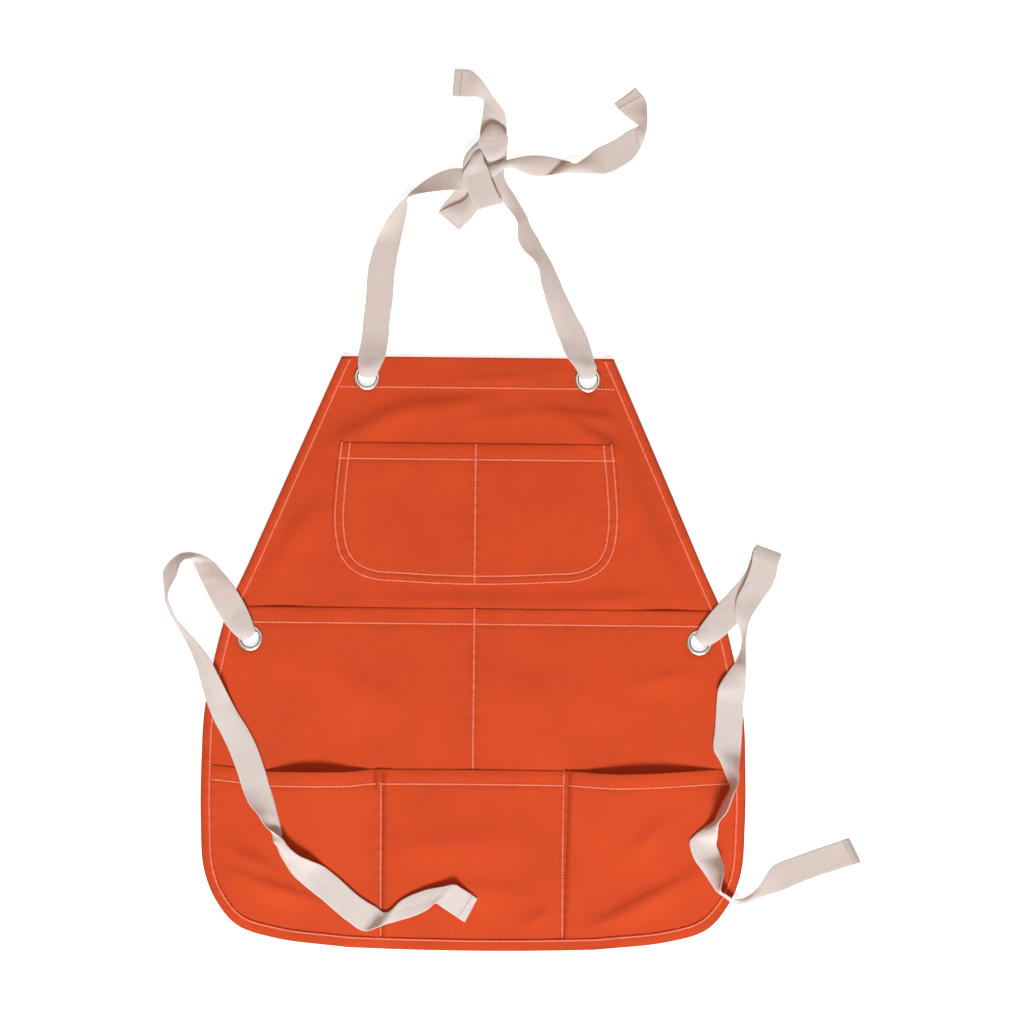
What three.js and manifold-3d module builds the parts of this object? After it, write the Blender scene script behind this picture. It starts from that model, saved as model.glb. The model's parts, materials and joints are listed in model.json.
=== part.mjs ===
// A canvas work apron with pockets, lying flat and face up: bib towards +Y, floor at z = 0.
// Millimetres, +Z up. The origin is the middle of the laid-out object, on the floor.
import * as THREE from 'three';
import { mergeVertices } from 'three/addons/utils/BufferGeometryUtils.js';
import Module from 'manifold-3d';

const wasm = await Module();
wasm.setup();

// Driving dimensions
const CLOTH = 1.0; // thickness of one layer of canvas
const GAP = 0.3; // clearance between layers that lie on each other
const LAYER = CLOTH + GAP;
const APRON_X = -35; // centre line of the apron in the laid-out object
const APRON_Y = -406; // bottom edge of the apron in the laid-out object
const HEM_DEPTH = 28; // folded top hem
const HEM_STEP = 2; // length over which the hem's second layer ends
const BINDING_WIDTH = 9.5;
const BINDING_RAMP = 9; // length over which the binding climbs onto another layer
const BINDING_LEAD = 4; // it has climbed this far before the layer's edge
const TAPE_WIDTH = 25;
const TAPE_THICKNESS = 1.0;
const FLOOR_CLEARANCE = 0.1; // the lowest that a tape lies
const FLAT_SHARE = 0.9; // a flat section that reads this wide is drawn at the full width
const COLUMNS = 20; // grid columns across a skirt panel
const CHEST_COLUMNS = 16;

const EYELET = {
  hole: 8.25, // radii
  barrel: 9.0,
  back: 10.8,
  flange: 11.25,
  cut: 9.6, // hole in the cloth
  leaf: 1.0, // thickness of the back ring
  crown: 1.2, // height of the front flange
  bevel: 0.4, // width and height of its rounded outer edge
  shoulder: 0.8,
  lip: 0.5, // height of its inner edge
  sides: 16,
};

const COLOURS = { canvas: 0xd84c26, tape: 0xdfd2c8, metal: 0xc9cac8 };

// Heights of the layers, from the floor up
const BODY_LOW = LAYER; // the binding's back leg lies under the body
const WAIST_LOW = BODY_LOW + LAYER;
const LOWER_LOW = WAIST_LOW + LAYER;
const HEM_TOP = BODY_LOW + 2 * CLOTH;
const BIB_TOP = BODY_LOW + CLOTH;
const WAIST_TOP = WAIST_LOW + CLOTH;
const LOWER_TOP = LOWER_LOW + CLOTH;

/** Rows of numbers as objects with the named columns. */
function table(names, rows) {
  const keys = names.split(' ');
  return rows.map((row) => Object.fromEntries(keys.map((key, i) => [key, row[i]])));
}

// The apron's outline: half width, height of the side edge and height in the middle of each section
const OUTLINE = table('half edge mid', [
  [125, 545, 545],
  [173.5, 435, 435],
  [209.5, 352, 352],
  [225.5, 317, 317],
  [239.5, 265, 265],
  [248, 215, 213],
  [250, 169, 167],
  [250, 118, 112],
  [246.5, 72, 68],
  [234, 42, 42],
  [215, 21, 26],
  [178, 9.5, 13],
  [115, 2.2, 0],
]);
const WAIST_ROW = 3;
const MOUTH_ROW = 6;
const TOP_EDGE = OUTLINE[0].edge;
const WAIST_LINE = OUTLINE[WAIST_ROW].edge;
const LOWER_MOUTH = OUTLINE[MOUTH_ROW].edge;

const CHEST = table('half edge mid', [
  [127, 468, 468],
  [131.5, 428, 426],
  [133, 388, 386],
  [127.5, 362, 365],
  [115.5, 347.5, 353],
  [97, 339.5, 345],
  [64, 337, 335],
]);

// Where the pockets stand open: sides of each mouth, and how far its middle lifts
const CHEST_MOUTHS = table('from to open', [
  [-122, -2, 7],
  [2, 122, 7],
]);
const WAIST_MOUTHS = table('from to open', [
  [-178, -4, 7],
  [4, 178, 7],
]);
const LOWER_MOUTHS = table('from to open', [
  [-188, -88, 10],
  [-80, 80, 7],
  [88, 224, 10],
]);
const CHEST_REACH = 95; // depth below the mouth at which the opening closes
const WAIST_REACH = 125;
const LOWER_REACH = 100;
const MOUTH_FALL = 1.5; // how steeply an opening closes below its mouth

// Soft ridges in the cloth: middle, direction in degrees, length, width and rise
const FOLDS = table('x y angle length width rise', [
  [-76, 491, -18, 110, 11, 0.9],
  [-20, 500, 8, 90, 10, 0.8],
  [108, 499, -25, 60, 9, 1.0],
  [60, 487, -30, 70, 10, 0.8],
  [-175, 420, 62, 110, 12, 1.2],
  [176, 425, -60, 120, 12, 1.2],
  [140, 66, 29, 130, 14, 1.8],
  [158, 36, 29, 110, 11, 1.4],
  [54, 34, 40, 60, 12, 1.2],
  [-180, 58, -14, 90, 13, 1.6],
  [-30, 110, 75, 90, 14, 1.0],
]);
const FOLD_MARGIN = { clear: 13, full: 34 }; // distance from the edge where folds begin and are whole

const EYELET_PLACES = table('name x y seat', [
  ['eyelet_neck_left', -101.5, 526, HEM_TOP],
  ['eyelet_neck_right', 101.5, 526, HEM_TOP],
  ['eyelet_waist_left', -206.6, 285.5, WAIST_TOP],
  ['eyelet_waist_right', 206.6, 285.5, WAIST_TOP],
]);

// Tapes: one row for each section across the tape, from its eyelet to its free end. A section runs from
// the left edge to the right edge; low is the height of its lower edge, and up says which edge stands
// up when the section reads narrower than the tape: 1 the right one, -1 the left one, 0 neither.
const TAPE_COLUMNS = 'leftX leftY rightX rightY low up';
const NECK_LEFT = table(TAPE_COLUMNS, [
  [-142.5, 121.5, -130.5, 121.5, 0.4, 0],
  [-142.5, 122, -130.5, 122, 4.2, 0],
  [-146, 130, -125, 130, 5.8, 0],
  [-145, 138, -119, 139, 4.6, 0],
  [-143, 152, -117, 152, 1.6, 0],
  [-141, 168, -116, 170, 0.3, 0],
  [-138, 193, -114, 193, 0.3, 0],
  [-136, 221, -112, 219, 0.3, 0],
  [-131, 248, -107, 245, 0.3, 0],
  [-123, 270, -103, 266, 0.3, 1],
  [-110, 283, -101, 279, 0.3, 1],
  [-99, 286, -99, 287, 0.3, 1],
  [-86, 289, -92, 296, 0.3, 1],
  [-71, 291, -79, 305, 1, 1],
  [-59, 292, -63, 312, 3, 1],
  [-48, 291, -49, 313, 4.2, 0],
  [-29, 300, -31, 314, 4.2, 0],
  [-8, 315, -11, 323, 4.2, 0],
  [6, 308, 9, 326, 2.4, 1],
  [25, 307, 30, 325, 0.6, 1],
  [49, 307, 51, 317, 0.3, 1],
  [66, 309, 60, 325, 0.3, 1],
  [82, 310, 73, 332, 0.3, 0],
  [96, 315, 86, 340, 0.3, 0],
  [107, 325, 101, 348, 0.3, 0],
  [114, 340, 109, 353, 0.3, -1],
  [118, 360, 105, 358, 0.3, -1],
  [116, 377, 95, 367, 0.3, 0],
  [108, 389, 87, 373, 0.3, 0],
]);
const NECK_RIGHT = table(TAPE_COLUMNS, [
  [60.5, 121.5, 72.5, 121.5, 0.4, 0],
  [60.5, 122, 72.5, 122, 4.2, 0],
  [55.5, 130, 76.5, 130, 5.8, 0],
  [47, 140, 72, 141, 4.6, 0],
  [39, 156, 63, 161, 1.6, 0],
  [31, 174, 53, 182, 0.3, 0],
  [25, 194, 47, 200, 0.3, 0],
  [22, 209, 42, 213, 0.3, 1],
  [18, 221, 33, 227, 0.3, 1],
  [7, 236, 22, 242, 0.3, 1],
  [1, 253, 13, 259, 0.3, 1],
  [2, 265, 9, 268, 0.5, 1],
  [-9, 280, -1, 286, 1.2, 0],
  [-28, 303, -17, 309, 1.2, 0],
  [-34, 326, -18, 330, 1.2, 0],
  [-34, 348, -10, 344, 1.0, 0],
  [-33, 363, -13, 364, 0.3, 1],
  [-32, 375, -23, 377, 0.3, 1],
  [-36, 378.5, -34, 393, 0.3, 1],
  [-48, 379, -45, 403, 0.3, 0],
  [-61, 379, -59, 404, 0.3, 0],
]);
// The bow loop that hangs over the knot's front, and the smaller loop at its lower left
const NECK_BOW = table(TAPE_COLUMNS, [
  [-33, 350, -10, 345, 1.6, 0],
  [-36, 342, -9, 337, 7.5, 0],
  [-42, 333, -14, 330, 10.8, 0],
  [-45, 325, -31, 325, 10.6, 0],
  [-49, 308, -27, 312, 9.2, 0],
  [-47, 291, -20, 296, 9, 0],
  [-42, 277, -13, 284, 8.4, 0],
  [-40.5, 273, -12, 280, 7, 0],
  [-42, 277, -13, 284, 5.6, 0],
  [-46, 290, -21, 295, 5.8, 0],
]);
const NECK_LOOP = table(TAPE_COLUMNS, [
  [-46, 302, -33, 292, 4.1, 0],
  [-52, 291, -38, 272, 3.9, 0],
  [-61, 283, -45, 263, 3.8, 0],
  [-72, 273, -53, 257, 2.3, 0],
  [-61, 283, -45, 263, 0.8, 0],
  [-50, 292, -36, 274, 0.8, 0],
]);
const TIE_LEFT = table(TAPE_COLUMNS, [
  [-249, -122.5, -237, -115, 0.4, 0],
  [-249, -122, -237, -114.5, 4.4, 0],
  [-255, -118, -238.5, -107, 5.8, 0],
  [-265, -106, -246, -91, 5.7, 0],
  [-276, -87, -256, -75, 5.2, 0],
  [-287, -69, -266, -62, 1.6, 0],
  [-297, -51, -277, -51, 0.3, 1],
  [-302, -48, -289, -44, 0.3, 1],
  [-308, -52, -307, -44, 0.3, 1],
  [-312, -65, -322, -60, 0.3, 1],
  [-316, -77, -321, -76, 0.3, 1],
  [-318, -86, -320, -87, 0.3, 1],
  [-311, -101, -315, -101, 0.3, 1],
  [-304, -111, -304, -116, 0.6, 1],
  [-291, -121, -298, -128, 2.5, 1],
  [-277, -140, -289, -149, 5.6, 1],
  [-266, -164, -284, -169, 5.7, 1],
  [-254, -185, -275, -193, 5.7, 0],
  [-236, -214, -260, -224, 5.2, 0],
  [-225, -242, -250, -252, 6.4, 0],
  [-219, -260, -243, -267, 7.2, 0],
  [-214, -277, -236, -279, 7.2, 1],
  [-211, -292, -228, -289, 7.2, 1],
  [-210, -305, -221, -299, 7.2, 1],
  [-206, -310, -215, -312, 7.2, 1],
  [-196, -318, -208, -323, 7.2, 1],
  [-184, -325, -200, -337, 7, 1],
  [-171, -331, -187, -347, 7, 0],
  [-155, -343, -170, -361, 6.8, 0],
  [-137, -357, -149, -380, 6.6, 0],
  [-123, -366, -134, -388, 6.8, 0],
  [-114, -371, -120, -383, 7, 1],
  [-97, -357, -108, -382, 7, 0],
  [-75, -350, -85, -375, 12, 0],
  [-54, -345, -68, -365, 17, 0],
  [-29, -357, -42, -380, 7, 0],
]);
const TIE_RIGHT = table(TAPE_COLUMNS, [
  [168, -114, 178, -124, 0.4, 0],
  [168.5, -113.5, 178.5, -123.5, 4.4, 0],
  [171, -106.5, 185.5, -120.5, 5.8, 0],
  [184, -89, 201, -108, 5.8, 0],
  [199, -73, 218, -90, 2.4, 0],
  [213, -55, 234, -70, 0.4, 0],
  [219, -36, 244, -44, 0.4, 0],
  [222, -30, 247, -39, 3.4, 0],
  [219, -38, 244, -47, 6.4, 0],
  [218, -47, 242, -56, 6.4, 0],
  [213, -64, 237, -68, 6.4, 0],
  [206, -80, 229, -79, 6.4, 0],
  [204, -96, 217, -99, 1, -1],
  [212, -116, 215, -116, 0.3, -1],
  [209, -132, 215, -134, 0.3, -1],
  [203, -142, 215, -147, 2, -1],
  [190, -161, 213, -160, 5.7, 0],
  [188, -173, 212, -173, 5.7, 0],
  [187, -197, 211, -199, 6, 0],
  [186, -218, 209, -221, 7, 0],
  [191, -229, 208, -234, 7, 1],
  [197, -243, 207, -247, 7, 1],
  [201, -254, 202, -257, 7, 1],
  [193, -271, 196, -273, 7, 1],
  [187, -283, 192, -283, 7, 1],
  [177, -292, 190, -295, 7, 1],
  [164, -302, 189, -303, 7.5, 0],
  [169, -318, 192, -316, 7.5, 0],
  [177, -331, 195, -329, 7, 1],
  [184, -341, 192, -339, 7, 1],
  [189, -348, 191, -344, 6.8, 1],
  [197, -353, 198, -351, 6.8, 1],
  [209, -359, 210, -357, 6.6, 1],
  [217, -361, 220, -352, 3, 1],
  [230, -351, 227, -342, 0.5, 1],
  [249, -347, 241, -324, 0.3, 0],
  [274, -337, 266, -315, 0.3, 0],
  [322, -321, 311, -299, 0.3, 0],
]);

// Solids

/** A geometry from points and triangles, turned outwards where it came out inside out. */
function geometryOf(points, faces) {
  const geometry = new THREE.BufferGeometry();
  geometry.setAttribute('position', new THREE.Float32BufferAttribute(points.flat(), 3));
  const volume = faces.reduce((sum, face) => {
    const [a, b, c] = face.map((i) => new THREE.Vector3(...points[i]));
    return sum + a.dot(b.cross(c));
  }, 0);
  geometry.setIndex((volume > 0 ? faces : faces.map(([a, b, c]) => [a, c, b])).flat());
  return geometry;
}

/** A closed mesh as a solid that can be joined and cut. */
function solidOf(geometry) {
  const bare = geometry.clone();
  bare.deleteAttribute('normal');
  bare.deleteAttribute('uv');
  const merged = mergeVertices(bare, 1e-4);
  const mesh = new wasm.Mesh({
    numProp: 3,
    vertProperties: new Float32Array(merged.attributes.position.array),
    triVerts: new Uint32Array(merged.index.array),
  });
  return new wasm.Manifold(mesh);
}

/** A solid back as a geometry. */
function geometryOfSolid(solid) {
  const mesh = solid.getMesh();
  const geometry = new THREE.BufferGeometry();
  geometry.setAttribute('position', new THREE.Float32BufferAttribute(mesh.vertProperties, 3));
  geometry.setIndex(new THREE.Uint32BufferAttribute(mesh.triVerts, 1));
  return geometry;
}

/** A closed band of equal rings of points; profile is the shape of one ring, which closes both ends. */
function bandGeometry(rings, profile) {
  const count = profile.length;
  const faces = [];
  for (let r = 0; r + 1 < rings.length; r += 1) {
    for (let i = 0; i < count; i += 1) {
      const a = r * count + i;
      const b = r * count + ((i + 1) % count);
      faces.push([a, b, b + count], [a, b + count, a + count]);
    }
  }
  const end = (rings.length - 1) * count;
  const turn = Math.sign(THREE.ShapeUtils.area(profile));
  for (const [i, j, k] of THREE.ShapeUtils.triangulateShape(profile, [])) {
    const same = Math.sign(THREE.ShapeUtils.area([profile[i], profile[j], profile[k]])) === turn;
    const [p, q] = same ? [j, k] : [k, j];
    faces.push([i, q, p], [end + i, end + p, end + q]);
  }
  return geometryOf(rings.flat(), faces);
}

/** A closed sheet over a grid: place(row, column) gives x, y and the heights of its two faces. */
function sheetGeometry(rows, columns, place) {
  const spots = [];
  for (let r = 0; r < rows; r += 1) {
    for (let c = 0; c < columns; c += 1) spots.push(place(r, c));
  }
  const points = [...spots.map((s) => [s.x, s.y, s.low]), ...spots.map((s) => [s.x, s.y, s.high])];
  const upper = spots.length;
  const at = (r, c) => r * columns + c;
  const faces = [];
  for (let r = 0; r + 1 < rows; r += 1) {
    for (let c = 0; c + 1 < columns; c += 1) {
      const quad = [at(r, c), at(r + 1, c), at(r + 1, c + 1), at(r, c + 1)];
      const [i, j, k, l] = quad;
      faces.push([i, k, j], [i, l, k]);
      faces.push([i, j, k].map((v) => v + upper), [i, k, l].map((v) => v + upper));
    }
  }
  const across = [...Array(columns).keys()];
  const down = [...Array(rows).keys()];
  const rim = [
    ...across.map((c) => at(0, c)),
    ...down.slice(1).map((r) => at(r, columns - 1)),
    ...across.slice(0, -1).reverse().map((c) => at(rows - 1, c)),
    ...down.slice(1, -1).reverse().map((r) => at(r, 0)),
  ];
  rim.forEach((a, i) => {
    const b = rim[(i + 1) % rim.length];
    faces.push([a + upper, b + upper, b], [a + upper, b, a]);
  });
  return geometryOf(points, faces);
}

// Cloth

/** The curve of half width, edge height and middle height through a table of sections. */
function sectionCurve(sections) {
  const points = sections.map((s) => new THREE.Vector3(s.half, s.edge, s.mid));
  const curve = new THREE.CatmullRomCurve3(points, false, 'centripetal');
  return { curve, spans: sections.length - 1 };
}

/** The right-hand edge at a section number, moved inwards, with the direction that points inwards. */
function edgeAt({ curve, spans }, section, inset) {
  const point = curve.getPoint(section / spans);
  const along = curve.getTangent(section / spans);
  const inward = new THREE.Vector2(along.y, -along.x).normalize();
  return { x: point.x + inset * inward.x, y: point.y + inset * inward.y, mid: point.z, inward };
}

/** Half the apron's width at a height above its bottom edge. */
function halfWidthAt(y) {
  const below = OUTLINE.findIndex((s) => s.edge <= y);
  if (below < 1) return OUTLINE.at(below).half;
  const [upper, lower] = [OUTLINE[below - 1], OUTLINE[below]];
  return THREE.MathUtils.mapLinear(y, upper.edge, lower.edge, upper.half, lower.half);
}

/** How far the soft folds raise the cloth at a place on the apron; they die out at its edge. */
function lift(x, y) {
  const margin = Math.min(halfWidthAt(y) - Math.abs(x), y);
  const fade = THREE.MathUtils.smoothstep(margin, FOLD_MARGIN.clear, FOLD_MARGIN.full);
  return fade * FOLDS.reduce((sum, fold) => {
    const turn = THREE.MathUtils.degToRad(fold.angle);
    const [dx, dy] = [x - fold.x, y - fold.y];
    const along = (dx * Math.cos(turn) + dy * Math.sin(turn)) / (fold.length / 2);
    const across = (dy * Math.cos(turn) - dx * Math.sin(turn)) / fold.width;
    return sum + fold.rise * Math.exp(-along * along - across * across);
  }, 0);
}

/** How far a pocket stands off the cloth behind it, from its mouth down to the reach of the opening. */
function opening(mouths, mouthY, reach) {
  return (x, y) => {
    const mouth = mouths.find((m) => x > m.from && x < m.to);
    const depth = THREE.MathUtils.clamp((mouthY - y) / reach, 0, 1);
    if (!mouth) return 0;
    const share = (x - mouth.from) / (mouth.to - mouth.from);
    return mouth.open * Math.sin(Math.PI * share) * (1 - depth) ** MOUTH_FALL;
  };
}

/** A cloth panel through a table of sections, resting at a height and following the folds. */
function panelGeometry({ sections, rows, columns, inset, low, thickness, open }) {
  const outline = sectionCurve(sections);
  return sheetGeometry(rows.length, columns + 1, (r, c) => {
    const across = (2 * c) / columns - 1;
    const edge = edgeAt(outline, rows[r], inset);
    const mid = edge.mid + (r === rows.length - 1 ? inset : 0);
    const x = across * edge.x;
    const y = mid + (edge.y - mid) * across * across;
    const base = low + lift(x, y) + open(x, y);
    return { x, y, low: base, high: base + thickness(y) };
  });
}

const oneLayer = () => CLOTH;
const shut = () => 0;
const HEM_LINE = TOP_EDGE - HEM_DEPTH;
const withHem = (y) => CLOTH * (1 + THREE.MathUtils.smoothstep(y, HEM_LINE, HEM_LINE + HEM_STEP));
const BIB_ROWS = [0, 0.24, 0.27, 0.6, 1, 1.5, 2, 2.5];
const SKIRT_ROWS = [3, 3.5, 4, 4.5, 5, 5.5];
const POCKET_ROWS = [6, 6.4, 6.8, 7.2, 7.6, 8, 8.5, 9, 9.5, 10, 10.5, 11, 12];
const CHEST_ROWS = [0, 0.5, 1, 1.5, 2, 2.5, 3, 3.5, 4, 5, 6];
const BINDING_ROWS = [...BIB_ROWS, 2.75, ...SKIRT_ROWS, 5.8, ...POCKET_ROWS]; // more where it climbs
const BINDING_BOTTOM = [-0.75, -0.5, -0.25, 0, 0.25, 0.5, 0.75]; // sections across the bottom edge

/** A round cutter for an eyelet's hole. */
function holeCutter({ x, y }) {
  const height = 4 * LOWER_TOP;
  const cutter = new THREE.CylinderGeometry(EYELET.cut, EYELET.cut, height, EYELET.sides);
  return solidOf(cutter.rotateX(Math.PI / 2).translate(x, y, 0));
}

function withHoles(geometry, places) {
  const cut = places.reduce((solid, place) => solid.subtract(holeCutter(place)), solidOf(geometry));
  return geometryOfSolid(cut);
}

function bodyPanel() {
  const cloth = panelGeometry({
    sections: OUTLINE,
    rows: [...BIB_ROWS, ...SKIRT_ROWS, ...POCKET_ROWS],
    columns: COLUMNS,
    inset: LAYER,
    low: BODY_LOW,
    thickness: withHem,
    open: shut,
  });
  return withHoles(cloth, EYELET_PLACES);
}

function waistPanel() {
  const cloth = panelGeometry({
    sections: OUTLINE,
    rows: [...SKIRT_ROWS, ...POCKET_ROWS],
    columns: COLUMNS,
    inset: LAYER,
    low: WAIST_LOW,
    thickness: oneLayer,
    open: opening(WAIST_MOUTHS, WAIST_LINE, WAIST_REACH),
  });
  return withHoles(cloth, EYELET_PLACES.filter((place) => place.y < WAIST_LINE));
}

function lowerPocket() {
  return panelGeometry({
    sections: OUTLINE,
    rows: POCKET_ROWS,
    columns: COLUMNS,
    inset: LAYER,
    low: LOWER_LOW,
    thickness: oneLayer,
    open: opening(LOWER_MOUTHS, LOWER_MOUTH, LOWER_REACH),
  });
}

function chestPocket() {
  return panelGeometry({
    sections: CHEST,
    rows: CHEST_ROWS,
    columns: CHEST_COLUMNS,
    inset: 0,
    low: BIB_TOP + GAP,
    thickness: oneLayer,
    open: opening(CHEST_MOUTHS, CHEST[0].edge, CHEST_REACH),
  });
}

/** Height of the topmost cloth under the binding's front leg. */
function stackTop(y) {
  const { smoothstep } = THREE.MathUtils;
  const hem = smoothstep(y, HEM_LINE - BINDING_RAMP, HEM_LINE) * CLOTH;
  const climb = (line) => 1 - smoothstep(y, line + BINDING_LEAD, line + BINDING_LEAD + BINDING_RAMP);
  const waist = climb(WAIST_LINE) * LAYER;
  const lower = climb(LOWER_MOUTH) * LAYER;
  return BIB_TOP + hem + waist + lower;
}

/** The folded strip: a U-shaped section along one side, the bottom edge and the other side. */
function edgeBinding() {
  const outline = sectionCurve(OUTLINE);
  const last = outline.spans;
  const side = BINDING_ROWS.map((section) => edgeAt(outline, section, 0));
  const corner = edgeAt(outline, last, 0);
  const stations = side.map(({ x, y, inward }) => ({ x: -x, y, inX: -inward.x, inY: inward.y }));
  for (const across of BINDING_BOTTOM) {
    const y = corner.mid + (corner.y - corner.mid) * across * across;
    stations.push({ x: across * corner.x, y, inX: 0, inY: 1 });
  }
  stations.push(...side.reverse().map(({ x, y, inward }) => ({ x, y, inX: inward.x, inY: inward.y })));
  const section = (slot) => [
    [0, 0],
    [BINDING_WIDTH, 0],
    [BINDING_WIDTH, CLOTH],
    [CLOTH, CLOTH],
    [CLOTH, slot],
    [BINDING_WIDTH, slot],
    [BINDING_WIDTH, slot + CLOTH],
    [0, slot + CLOTH],
  ];
  const rings = stations.map(({ x, y, inX, inY }) =>
    section(stackTop(y) + GAP).map(([inward, z]) => [x + inward * inX, y + inward * inY, z]));
  const profile = section(stackTop(TOP_EDGE) + GAP).map(([inward, z]) => new THREE.Vector2(inward, z));
  return bandGeometry(rings, profile);
}

/** A pressed eyelet: back ring, barrel through the cloth and rounded front flange. */
function eyelet({ x, y, seat }) {
  const { hole, barrel, back, flange, leaf, crown, bevel, shoulder, lip, sides } = EYELET;
  const under = seat + GAP;
  const profile = [
    [hole, 0],
    [back, 0],
    [back, leaf],
    [barrel, leaf],
    [barrel, under],
    [flange, under],
    [flange - bevel, under + shoulder],
    [(flange + hole) / 2, under + crown],
    [hole, under + lip],
  ];
  const ring = [...profile, profile[0]].map(([radius, z]) => new THREE.Vector2(radius, z));
  const lathe = new THREE.LatheGeometry(ring, sides).rotateX(Math.PI / 2);
  return geometryOfSolid(solidOf(lathe.translate(x, y, 0)));
}

// Tapes

/** The two edge points of one section across a tape. */
function tapeEdges({ leftX, leftY, rightX, rightY, low, up }) {
  const left = new THREE.Vector3(leftX, leftY, low + TAPE_THICKNESS / 2);
  const right = new THREE.Vector3(rightX, rightY, low + TAPE_THICKNESS / 2);
  const span = left.distanceTo(right);
  if (up === 0 && span > FLAT_SHARE * TAPE_WIDTH) {
    const spare = right.clone().sub(left).multiplyScalar((TAPE_WIDTH / span - 1) / 2);
    return { left: left.sub(spare), right: right.add(spare) };
  }
  const rise = up === 0 ? 0 : Math.sqrt(Math.max(TAPE_WIDTH ** 2 - span ** 2, 0));
  (up < 0 ? left : right).z += rise;
  return { left, right };
}

/** A tape lofted through its sections; grow thickens it on all sides. */
function tapeGeometry(rows, grow = 0) {
  const edges = rows.map(tapeEdges);
  const leftCurve = new THREE.CatmullRomCurve3(edges.map((e) => e.left), false, 'centripetal');
  const rightCurve = new THREE.CatmullRomCurve3(edges.map((e) => e.right), false, 'centripetal');
  const steps = 2 * (rows.length - 1);
  const lowest = FLOOR_CLEARANCE + TAPE_THICKNESS / 2;
  const rings = [];
  for (let i = 0; i <= steps; i += 1) {
    const share = i / steps;
    const left = leftCurve.getPoint(share);
    const right = rightCurve.getPoint(share);
    left.z = Math.max(left.z, lowest);
    right.z = Math.max(right.z, lowest);
    const along = leftCurve.getTangent(share).add(rightCurve.getTangent(share)).normalize();
    const across = right.clone().sub(left).normalize();
    const face = across.clone().cross(along).normalize().multiplyScalar(TAPE_THICKNESS / 2 + grow);
    const rim = across.multiplyScalar(grow);
    left.sub(rim);
    right.add(rim);
    rings.push([
      left.clone().add(face).toArray(),
      right.clone().add(face).toArray(),
      right.clone().sub(face).toArray(),
      left.clone().sub(face).toArray(),
    ]);
  }
  const square = [[0, 0], [1, 0], [1, 1], [0, 1]].map(([x, y]) => new THREE.Vector2(x, y));
  return bandGeometry(rings, square);
}

/** Stretches of one tape that lie on each other in the knot, joined into one solid. */
function joinedTape(stretches, grow = 0) {
  return stretches.map((rows) => solidOf(tapeGeometry(rows, grow))).reduce((a, b) => a.add(b));
}

// Assembly

const canvas = () => new THREE.MeshStandardMaterial({ color: COLOURS.canvas, roughness: 0.9, metalness: 0 });
const cotton = () => new THREE.MeshStandardMaterial({ color: COLOURS.tape, roughness: 0.95, metalness: 0 });
const steel = () => new THREE.MeshStandardMaterial({ color: COLOURS.metal, roughness: 0.25, metalness: 1 });

function piece(name, geometry, material) {
  const mesh = new THREE.Mesh(geometry, material);
  mesh.name = name;
  return mesh;
}

const apron = new THREE.Group();
apron.position.set(APRON_X, APRON_Y, 0);
apron.add(
  piece('body_panel', bodyPanel(), canvas()),
  piece('chest_pocket', chestPocket(), canvas()),
  piece('waist_panel', waistPanel(), canvas()),
  piece('lower_pocket', lowerPocket(), canvas()),
  piece('edge_binding', edgeBinding(), canvas()),
  ...EYELET_PLACES.map((place) => piece(place.name, eyelet(place), steel())),
);

const leftStretches = [NECK_LEFT, NECK_LOOP];
const neckLeft = joinedTape(leftStretches);
const neckRight = joinedTape([NECK_RIGHT, NECK_BOW]).subtract(joinedTape(leftStretches, GAP));

const group = new THREE.Group();
group.add(
  apron,
  piece('neck_tape_left', geometryOfSolid(neckLeft), cotton()),
  piece('neck_tape_right', geometryOfSolid(neckRight), cotton()),
  piece('waist_tie_left', tapeGeometry(TIE_LEFT), cotton()),
  piece('waist_tie_right', tapeGeometry(TIE_RIGHT), cotton()),
);

export default group;
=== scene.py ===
"""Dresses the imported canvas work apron: cloth panels, binding, eyelets, tapes and stitching, in metres."""

import json
import logging
import math
from contextlib import contextmanager
from dataclasses import dataclass, field
from enum import Enum
from typing import Callable, Iterator, NamedTuple, Sequence

import bmesh
import bpy
import numpy as np
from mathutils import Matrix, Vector, geometry, noise

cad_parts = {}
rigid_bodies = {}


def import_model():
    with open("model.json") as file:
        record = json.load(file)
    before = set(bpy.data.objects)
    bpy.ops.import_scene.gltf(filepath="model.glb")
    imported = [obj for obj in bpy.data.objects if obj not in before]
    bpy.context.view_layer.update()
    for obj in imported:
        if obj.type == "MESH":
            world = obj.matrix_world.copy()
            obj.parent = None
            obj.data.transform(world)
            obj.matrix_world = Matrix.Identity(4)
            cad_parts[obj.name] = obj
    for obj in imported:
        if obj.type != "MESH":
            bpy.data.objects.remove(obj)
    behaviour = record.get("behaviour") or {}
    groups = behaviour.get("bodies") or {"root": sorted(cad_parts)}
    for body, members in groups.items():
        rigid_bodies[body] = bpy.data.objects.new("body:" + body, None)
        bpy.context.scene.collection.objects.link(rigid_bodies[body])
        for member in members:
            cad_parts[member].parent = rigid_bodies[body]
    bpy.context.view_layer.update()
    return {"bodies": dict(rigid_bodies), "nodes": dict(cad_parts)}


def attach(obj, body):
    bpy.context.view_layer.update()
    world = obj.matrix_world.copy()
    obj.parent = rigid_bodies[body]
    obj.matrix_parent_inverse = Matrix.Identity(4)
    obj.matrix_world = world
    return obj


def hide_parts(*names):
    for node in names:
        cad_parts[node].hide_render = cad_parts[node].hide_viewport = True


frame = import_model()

LOG = logging.getLogger("apron")
MM = 0.001
TINY = 1e-9
MERGE = 1e-4
FULL_TURN = 2 * math.pi
BODY = "root"
APRON_X = -35.0
APRON_Y = -406.0

Colour = tuple[float, float, float]
Ends = tuple[float, float]
Heights = Callable[[np.ndarray, np.ndarray], np.ndarray]


class Slot(Enum):
    """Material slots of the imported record."""

    CANVAS = "canvas"
    TAPE = "cotton_tape"
    METAL = "eyelet_metal"


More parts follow.
